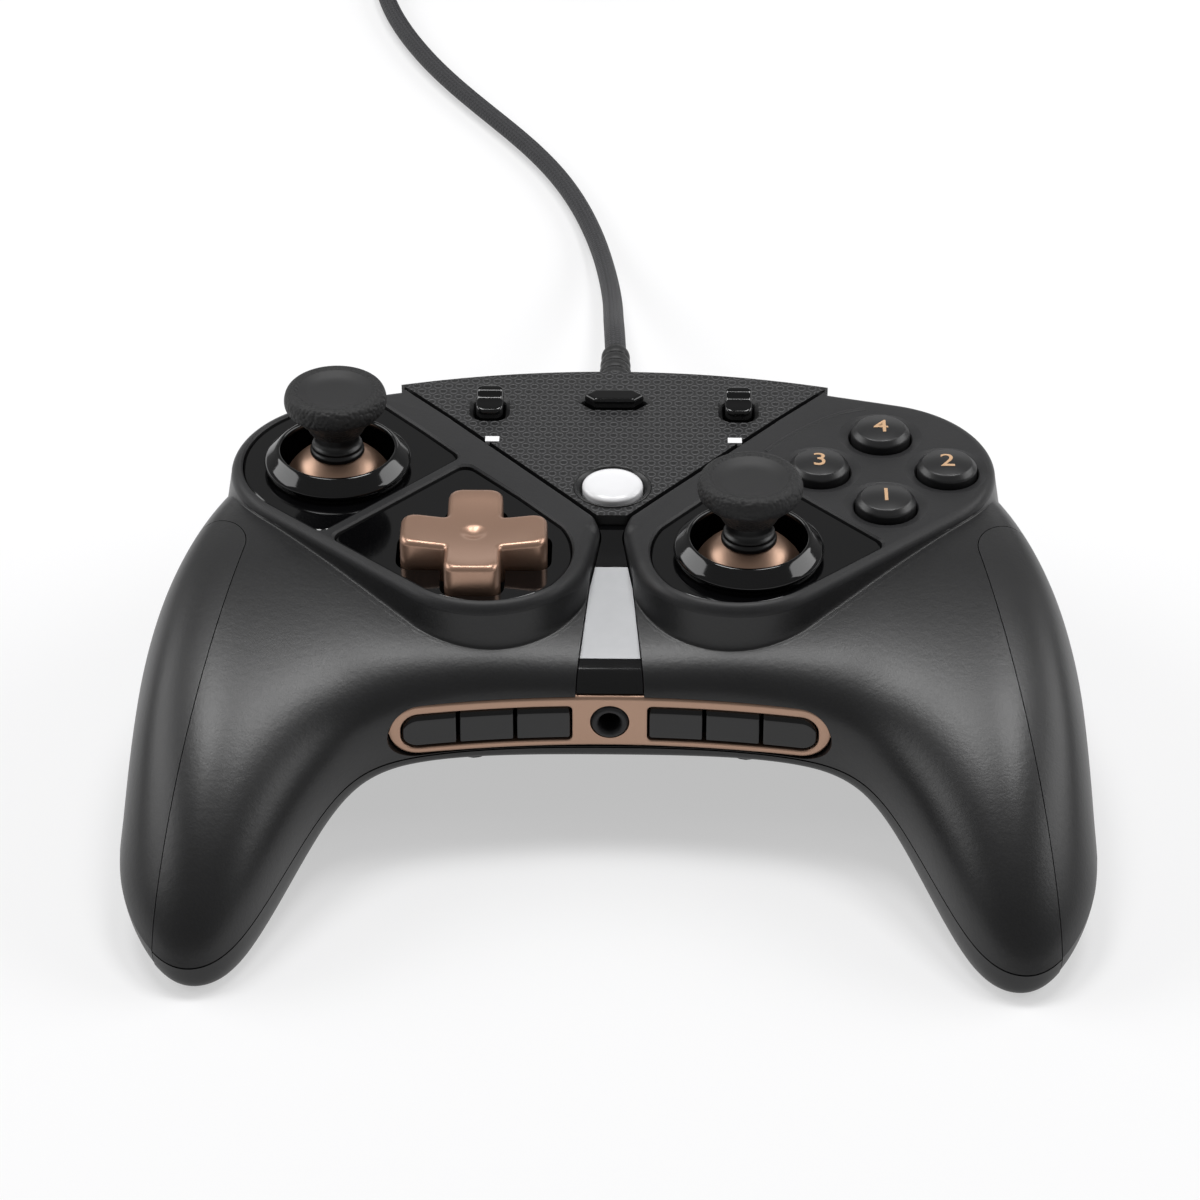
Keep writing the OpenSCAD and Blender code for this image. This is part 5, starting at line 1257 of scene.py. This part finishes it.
def domeProfile(lift):
    # the cap's (radius, height) pairs from its rim to the middle
    r = np.linspace(faceForm["r"] - faceForm["chamfer"], 0, 16)
    return np.stack([r, domeHeight(r) + lift], -1)


def makeNumeral(text, at, host):
    # a figure from the plain font, made an upright solid, less all that is above the lifted dome
    curve = bpy.data.curves.new("numeral_" + text, "FONT")
    curve.body = text
    curve.size = numeralForm["size"]
    curve.extrude = 1.0
    curve.offset = numeralForm["bold"]
    curve.resolution_u = 8
    holder = bpy.data.objects.new("numeral_" + text, curve)
    bpy.context.scene.collection.objects.link(holder)
    bpy.context.view_layer.update()
    mesh = bpy.data.meshes.new_from_object(holder.evaluated_get(bpy.context.evaluated_depsgraph_get()))
    bpy.data.objects.remove(holder)
    points = np.zeros(len(mesh.vertices) * 3)
    mesh.vertices.foreach_get("co", points)
    points = points.reshape(-1, 3)
    points[:, :2] -= (points[:, :2].max(0) + points[:, :2].min(0)) / 2
    points[:, 2] = np.where(points[:, 2] > 0, 9.0, faceForm["top"] - numeralForm["deep"])
    mesh.vertices.foreach_set("co", world(points + at).ravel())
    piece = bpy.data.objects.new("numeral_" + text, mesh)
    bpy.context.scene.collection.objects.link(piece)
    dome = domeProfile(numeralForm["lift"])
    under = revolve("under_dome", np.vstack([[(0, -5), (dome[0, 0], -5)], dome]), at, steps=128)
    dress(smooth(common(clean(piece), under)), looks["numeral"], rides=host, slotName="bronze")


def makeFaceButtons():
    # a flanged wall, a chamfer and a shallow cap turned round each button's axis
    r, top, low = faceForm["r"], faceForm["top"], plateZ - housing["gap"]
    chamfer, (wide, thick) = faceForm["chamfer"], faceForm["flange"]
    foot, dome = low - thick, domeProfile(0)
    for k, at in enumerate(faceSpots, 1):
        wall = rounded([(0, foot), (r + wide, foot), (r + wide, low), (r, low), (r, top - chamfer),
                        (r - chamfer, top), tuple(dome[1])], [0, 0.1, 0.1, 0.05, 0.35, 0.3, 0], 7)
        piece = revolve("button_%d" % k, np.vstack([wall[:-1], dome[1:]]), at, steps=128)
        dress(smooth(piece, 30), looks["button"], "face_button_%d" % k)
        makeNumeral(str(k), at, "face_button_%d" % k)
    print("face buttons made")


makeFaceButtons()


# Low bead that bounds the button field towards the panel

beadForm = {"points": [(27.2, 18.6), (29, 21.2), (33, 25.6), (38.3, 30.2), (42, 32.4), (45.5, 33.2)],
            "half": 0.55, "high": 0.22, "steps": 120, "around": 12, "fade": 4, "sunk": 0.4, "least": 0.05}


def makeBead():
    # a flat oval carried along a spline on the wing, sinking in at both ends
    steps = beadForm["steps"]
    line = splineBasis(len(beadForm["points"]), steps) @ np.array(beadForm["points"], float)
    way = np.gradient(line, axis=0)
    way /= np.linalg.norm(way, axis=1)[:, None]
    across = np.stack([-way[:, 1], way[:, 0]], -1)
    turn = np.linspace(0, 2 * math.pi, beadForm["around"] + 1)[:-1]
    ends = np.minimum(1, np.sin(np.linspace(0, math.pi, steps)) * beadForm["fade"])[:, None]
    flat = line[:, None] + across[:, None] * (np.cos(turn) * beadForm["half"])[None, :, None]
    rest = beadForm["high"] * np.maximum(ends, beadForm["least"])
    high = (np.sin(turn) - beadForm["sunk"])[None, :] * rest
    bead = ringSolid("button_bead", np.dstack([flat, high]))
    dress(smooth(bead, 70), looks["wing"], rides="right_wing")


makeBead()


# Bronze bezel on its arc, six gloss keys and the jack

windowForm = {"x": (6.4, 35.4), "h": 6.9, "down": 0.25, "round": (0.8, 3.0), "slope": 0.3, "edge": 0.9}
frontKey = {"sunk": 0.15, "gap": 0.25, "between": 0.5, "edge": (0.4, 1.7), "end": 0.4, "back": 4.3}
jackForm = {"r": 3.2, "hole": 1.8, "proud": 0.5, "deep": 14.0}


def onArc(x, z, depth):
    # a place on the bezel: across, upwards, and behind its hollow front face
    r = bezelForm["arcR"]
    y = bezelForm["face"] - r + np.sqrt((r + depth) ** 2 - x ** 2)
    return np.stack(np.broadcast_arrays(x, y, bezelForm["z"] + z), -1)


def archBar(name, x, half, front, back, edges, shift=0.0):
    # upright sections along the arc, each a rectangle with a rounded lower and upper front corner
    turn = np.linspace(0, math.pi / 2, 8)[None, :]
    h = half[:, None]
    corners = []
    for sign, edge in zip((-1, 1), edges):
        e = np.minimum(edge, 0.9 * h)
        corners.append((sign * (h - e + e * np.cos(turn)), front[:, None] + e - e * np.sin(turn)))
    (lowZ, lowD), (highZ, highD) = corners
    ends = np.full_like(h, back)
    ring = onArc(x[:, None], np.hstack([-h, lowZ, highZ[:, ::-1], h]) + shift,
                 np.hstack([ends, lowD, highD[:, ::-1], ends]))
    return smooth(ringSolid(name, ring), 40)


def windowCircles(inset):
    # a window's four corner circles, larger at its outer end
    (x0, x1), (r0, r1), h = windowForm["x"], windowForm["round"], windowForm["h"] / 2
    return [(x, s * (h - r), r - inset) for x, r in ((x0 + r0, r0), (x1 - r1, r1)) for s in sides]


def windowHalf(x, inset):
    # half height of a window at a distance from the middle plane, its corners being arcs
    (x0, x1), (r0, r1), h = windowForm["x"], windowForm["round"], windowForm["h"] / 2 - inset
    a = np.clip((x0 + r0 - x) / (r0 - inset), 0, 0.999)
    b = np.clip((x - x1 + r1) / (r1 - inset), 0, 0.999)
    return h - (r0 - inset) * (1 - np.sqrt(1 - a ** 2)) - (r1 - inset) * (1 - np.sqrt(1 - b ** 2))


def makeWindow(side):
    # a window's outline taken through the bezel, wider at the front face
    middle, slope = (sum(windowForm["x"]) / 2, 0), windowForm["slope"]
    rings = []
    for inset, depth in ((-slope, -4), (-slope, 0), (-0.3 * slope, 0.3 * slope), (0, slope), (0, 9)):
        flat = convexOutline(*circlesPlanes(windowCircles(inset)), middle, count=200)
        rings.append(onArc(side * flat[:, 0], flat[:, 1] - windowForm["down"], depth))
    return ringSolid("window", np.array(rings))


def makeBezel():
    # a slot-shaped bar along the arc, less its windows and the jack's hole
    r, half = bezelForm["h"] / 2, bezelForm["half"]
    turn = np.linspace(math.pi / 2, 0.02, 28)
    ends = half - r + r * np.cos(turn[::-1])[::-1]
    x = np.concatenate([-ends[::-1], np.linspace(-half + r, half - r, 90)[1:-1], ends])
    past = np.maximum(np.abs(x) - half + r, 0)
    high = np.sqrt(np.maximum(r ** 2 - past ** 2, 0.01))
    bezel = archBar("front_frame", x, high, np.zeros_like(x), bezelForm["t"],
                    (windowForm["edge"],) * 2)
    hole, far = jackForm["r"] + housing["gap"] / 2, housing["through"]
    cut(bezel, makeWindow(1), makeWindow(-1),
        revolve("jack_room", [(0, -far), (hole, -far), (hole, 0), (0, 0)], (0, 0, bezelForm["z"]), "y"))
    dress(smooth(bezel, 35), looks["bronze"], "front_bezel")


def makeFrontKey(k):
    # a bar in its third of a window, its front rounded off at both ends
    side, place = (-1, 2 - k) if k < 3 else (1, k - 3)
    (x0, x1), gap, end = windowForm["x"], frontKey["gap"], frontKey["end"]
    step = (x1 - x0) / 3
    low = max(x0 + gap, x0 + place * step + frontKey["between"] / 2)
    high = min(x1 - gap, x0 + (place + 1) * step - frontKey["between"] / 2)
    x = low + (high - low) * (1 - np.cos(np.linspace(0, math.pi, 60))) / 2
    near = np.clip(1 - np.minimum(x - low, high - x) / end, 0, 1)
    front = frontKey["sunk"] + end * (1 - np.sqrt(1 - near ** 2))
    bar = archBar("front_key_%d" % (k + 1), side * x, windowHalf(x, gap), front, frontKey["back"],
                  frontKey["edge"], -windowForm["down"])
    dress(bar, looks["gloss"], "front_button_%d" % (k + 1))


def makeJack():
    # a collar with a bore, turned round the socket's axis
    r, hole, face = jackForm["r"], jackForm["hole"], bezelForm["face"] - jackForm["proud"]
    back = face + jackForm["deep"]
    profile = rounded([(0, back), (hole, back), (hole, face + 0.7), (hole + 0.35, face + 0.1),
                       (r - 0.45, face), (r - 0.05, face + 0.45), (r, face + 0.9), (r, back + 1.5),
                       (0, back + 1.5)], [0, 0, 0.3, 0.3, 0.3, 0.3, 0.2, 0, 0])
    dress(smooth(revolve("jack", profile, (0, 0, bezelForm["z"]), "y"), 40), looks["wing"], "audio_jack")


makeBezel()
for k in range(6):
    makeFrontKey(k)
makeJack()
print("bezel made")


# Centre panel with its seat, keys and indicator bars

panelForm = {"t": 3.2, "skirt": 1.6, "guideY": 6.5, "guideR": 5.35, "seatR": 6.9, "recess": 0.95,
             "menuAt": (22.5, 32.7), "menuHalf": (2.45, 3.3), "menuRound": 1.6, "menuEdge": 0.5,
             "flange": -3.5, "flangeT": 1.2,
             # side view of a menu key from front to rear
             "menuTop": [(-3.3, 1.3), (-2.4, 1.6), (-0.4, 1.9), (0.4, 2.2), (1.5, 3), (2.6, 3.1),
                         (3.3, 2.9)],
             "shareY": 35.3, "shareHalf": (5.45, 1.9), "shareTop": 1.5, "shareEdge": 0.6,
             "barAt": (21.7, 22.0), "barSize": (2.5, 1.7), "barZ": (-0.6, 0.12)}


def menuOutline(inset=0.0):
    # a rectangle with round corners
    (w, h), r = panelForm["menuHalf"], panelForm["menuRound"]
    corners = [(x * (w - r), y * (h - r), r) for x in sides for y in sides]
    return convexOutline(*circlesPlanes(corners), (0, 0), inset, count=120)


def shareOutline(inset=0.0):
    # a lozenge: level long sides, pointed ends
    w, h = panelForm["shareHalf"]
    slant = math.sqrt(0.5)
    normals = np.array([(0, 1), (0, -1)] + [(sx * slant, sy * slant) for sx in sides for sy in sides])
    return convexOutline(normals, np.array([h, h] + [w * slant] * 4), (0, 0), inset, 0.35, 160)


def recess(outline, at, gap):
    # a hole that opens in a slope towards the panel's face
    wide = panelForm["recess"]
    hole = [(-gap, -20), (-gap, -wide), (-gap - 0.25 * wide, -0.5 * wide), (-gap - wide, 0),
            (-gap - wide, 2)]
    return slab("recess", lambda inset: outline(inset) + at, hole)


def panelSolid(inset, low, high):
    # the panel's block less both wings and the gap beside them
    block = panelBlock(-inset, low, high)
    for side in sides:
        cut(block, wingPrism(side, deckForm["panelGap"] + inset, low - 1, high + 1))
    return block


def makePanel():
    # the panel less its recesses, the ring and lens turned round one axis, and the keys
    f, gap = panelForm, housing["gap"]
    panel = panelSolid(0, -deckForm["wingDeep"], 0)
    panel.name = "patterned_panel"
    cut(panel, panelSolid(f["skirt"], -20, -f["t"]), reliefHole(),
        prism("guide_hole", circle(f["seatR"], (0, f["guideY"]), 128), -20, 5),
        recess(shareOutline, (0, f["shareY"]), gap))
    for side in sides:
        cut(panel, recess(menuOutline, (side * f["menuAt"][0], f["menuAt"][1]), gap), bumperPocket(side, 0))
    dress(smooth(panel, 12), looks["panel"], "centre_panel")
    inner, outer, low = f["guideR"] + gap, f["seatR"], -f["t"]
    seat = rounded([(inner, low), (outer, low), (outer, 0.1), (outer - 0.35, 0.35), (inner + 0.4, -0.25),
                    (inner, -0.7), (inner, low)], [0, 0.1, 0.3, 0.4, 0.3, 0.2, 0])
    ring = revolve("guide_seat", seat, (0, f["guideY"], 0), steps=128)
    dress(smooth(ring, 40), looks["satinBlack"], rides="centre_panel")
    r, flange = f["guideR"], f["flange"]
    foot = flange - f["flangeT"]
    disc = rounded([(0, foot), (r + 0.9, foot), (r + 0.9, flange), (r, flange), (r, 0.4), (r - 0.8, 0.9),
                    (r / 2, 1.2), (0, 1.3)], [0, 0, 0, 0, 0.4, 0.8, 1.5, 0], 8)
    lens = revolve("guide_lens", disc, (0, f["guideY"], 0), steps=128)
    dress(smooth(lens, 40), looks["pale"], "guide_button")
    for side, name in ((-1, "view"), (1, "menu")):
        at = (side * f["menuAt"][0], f["menuAt"][1])
        line = rounded(f["menuTop"], 0.8, 6)
        key = keySolid(name + "_rocker", menuOutline, foot, f["menuEdge"],
                       lambda flat: np.interp(flat[:, 1], line[:, 0], line[:, 1]), at, 30)
        dress(smooth(key, 40), looks["gloss"], name + "_button")
        (w, h), (low, high) = np.array(f["barSize"]) / 2, f["barZ"]
        x, y = side * f["barAt"][0], f["barAt"][1]
        bar = box(name + "_light", (x - w, y - h, low), (x + w, y + h, high))
        dress(bar, looks["lamp"], rides="centre_panel", slotName="white_lens")
    key = keySolid("share_key", shareOutline, foot, f["shareEdge"],
                   lambda flat: np.full(len(flat), f["shareTop"]), (0, f["shareY"]), 6)
    dress(smooth(key, 40), looks["gloss"], "share_button")
    print("panel made")


makePanel()


# Strip between the wings and its bright inlay

stripForm = {"path": [(-2.9, -2), (-8, -3.2), (-12, -4.6), (-31.5, -10.2), (-34, -11), (-35.6, -12.1),
                      (-36.4, -14.3)], "t": 2.4, "inlayT": 0.8, "low": -14.1}


def stripLoft(name, path, t, grow=0.0):
    # level sections along a side view, as wide as the strip is at that depth, less the wings
    path = np.asarray(path, float)
    (y0, y1), (a, b) = deckForm["stripY"], deckForm["stripHalf"]
    w = np.interp(path[:, 0], (y1, y0), (b, a)) + grow
    y, z = path.T
    rings = np.stack([np.stack([s * w, y, z - d], -1) for s, d in ((-1, 0), (1, 0), (1, t), (-1, t))], 1)
    piece = ringSolid(name, rings)
    for side in sides:
        cut(piece, wingPrism(side, housing["gap"], -housing["through"], housing["through"]))
    return piece


def makeStrip():
    # the strip less a seat for the inlay, ended above the bezel, and the inlay
    path, t, lower = stripForm["path"], stripForm["inlayT"], housing["far"]
    bright = rounded(path, [0, 2, 1, 1, 0.8, 0.8, 0], 6)
    strip = stripLoft("gloss_strip", bright, stripForm["t"])
    ends = np.array(path[2:4], float) + [(0.1, 0), (-0.1, 0)]
    cut(strip, stripLoft("inlay_room", ends + (0, 1), t + 1.1, 1.0),
        box("bezel_limit", (-lower, -lower, -lower), (lower, lower, stripForm["low"])))
    dress(smooth(strip), looks["gloss"], "centre_strip")
    dress(smooth(stripLoft("bright_inlay", path[2:4], t)), looks["mirror"], "strip_inlay")
    print("strip made")


makeStrip()


# Ribbed strain relief

def makeRelief():
    # a cone with rounded ribs between narrow grooves, behind a flange inside the shell
    f = reliefForm
    y0, y1 = f["y"]
    start, bore = y0 + f["flangeT"], cable["d"] / 2
    y = np.linspace(start + f["plain"][0], y1 - f["plain"][1], f["steps"])
    share = (y - start) / (y1 - start)
    wave = np.abs(np.sin(math.pi * (y - y[0]) / (y[-1] - y[0]) * f["ribs"])) ** 0.5
    r = f["r"][0] + (f["r"][1] - f["r"][0]) * share - f["groove"] * (1 - wave)
    head = [(bore, y0), (f["r"][0] + f["flange"], y0), (f["r"][0] + f["flange"], start), (f["r"][0], start)]
    tail = [(f["r"][1] - 0.5, y1), (bore, y1), (bore, y0)]
    profile = np.vstack([head, np.stack([r, y], -1), tail])
    relief = revolve("ribbed_relief", profile, (0, 0, f["z"]), "y")
    dress(smooth(relief, 45), looks["relief"], "strain_relief")


makeRelief()


# Softened edges on the pieces that keep their CAD form

# width of the rounded edges in millimetres, and the nodes that have them
softened = [(0.6, ["left_bumper", "right_bumper", "left_trigger", "right_trigger"]),
            (0.4, ["rear_button_%d" % k for k in range(1, 5)]),
            (0.25, ["coil_tie", "usb_plug", "housing_screws"])]


def soften(names, width, segments=3, angle=35):
    # doubled points are welded, then edges sharper than the angle are rounded
    for name in names:
        weld = nodes[name].modifiers.new("weld", "WELD")
        weld.merge_threshold = 1e-6
        bevel = nodes[name].modifiers.new("bevel", "BEVEL")
        bevel.width = width * mm
        bevel.segments = segments
        bevel.limit_method = "ANGLE"
        bevel.angle_limit = math.radians(angle)
        bevel.use_clamp_overlap = True


for width, names in softened:
    soften(names, width)


# Every CAD node has a finish, whether it shows or a piece stands in for it

nodeLooks = {
    "shell": ["top_shell"], "under": ["bottom_shell"], "grip": ["left_grip", "right_grip"],
    "wing": ["left_wing", "right_wing"],
    "gloss": ["centre_strip", "left_stick_module", "right_stick_module", "dpad_module", "view_button",
              "menu_button", "share_button"] + ["front_button_%d" % k for k in range(1, 7)],
    "satinBlack": ["centre_panel", "audio_jack", "face_module", "left_bumper", "right_bumper",
                   "left_trigger", "right_trigger"] + ["rear_button_%d" % k for k in range(1, 5)],
    "bronze": ["front_bezel", "dpad", "left_stick", "right_stick"],
    "rubber": ["left_stick_cap", "right_stick_cap"],
    "button": ["face_button_%d" % k for k in range(1, 5)],
    "steel": ["housing_screws", "left_stick_yoke", "right_stick_yoke", "dpad_hub", "bumper_pins",
              "trigger_pins", "rumble_motors", "left_rumble_weight", "right_rumble_weight"],
    "mirror": ["strip_inlay"], "relief": ["strain_relief", "coil_tie", "usb_plug", "left_stick_pivot",
                                          "right_stick_pivot"],
    "braid": ["cable_lead", "cable_coil"], "board": ["circuit_board"], "membrane": ["button_membrane"],
    "pale": ["guide_button"],
}
for look, names in nodeLooks.items():
    for name in names:
        nodes[name].data.materials.clear()
        nodes[name].data.materials.append(looks[look])
print("node finishes set")
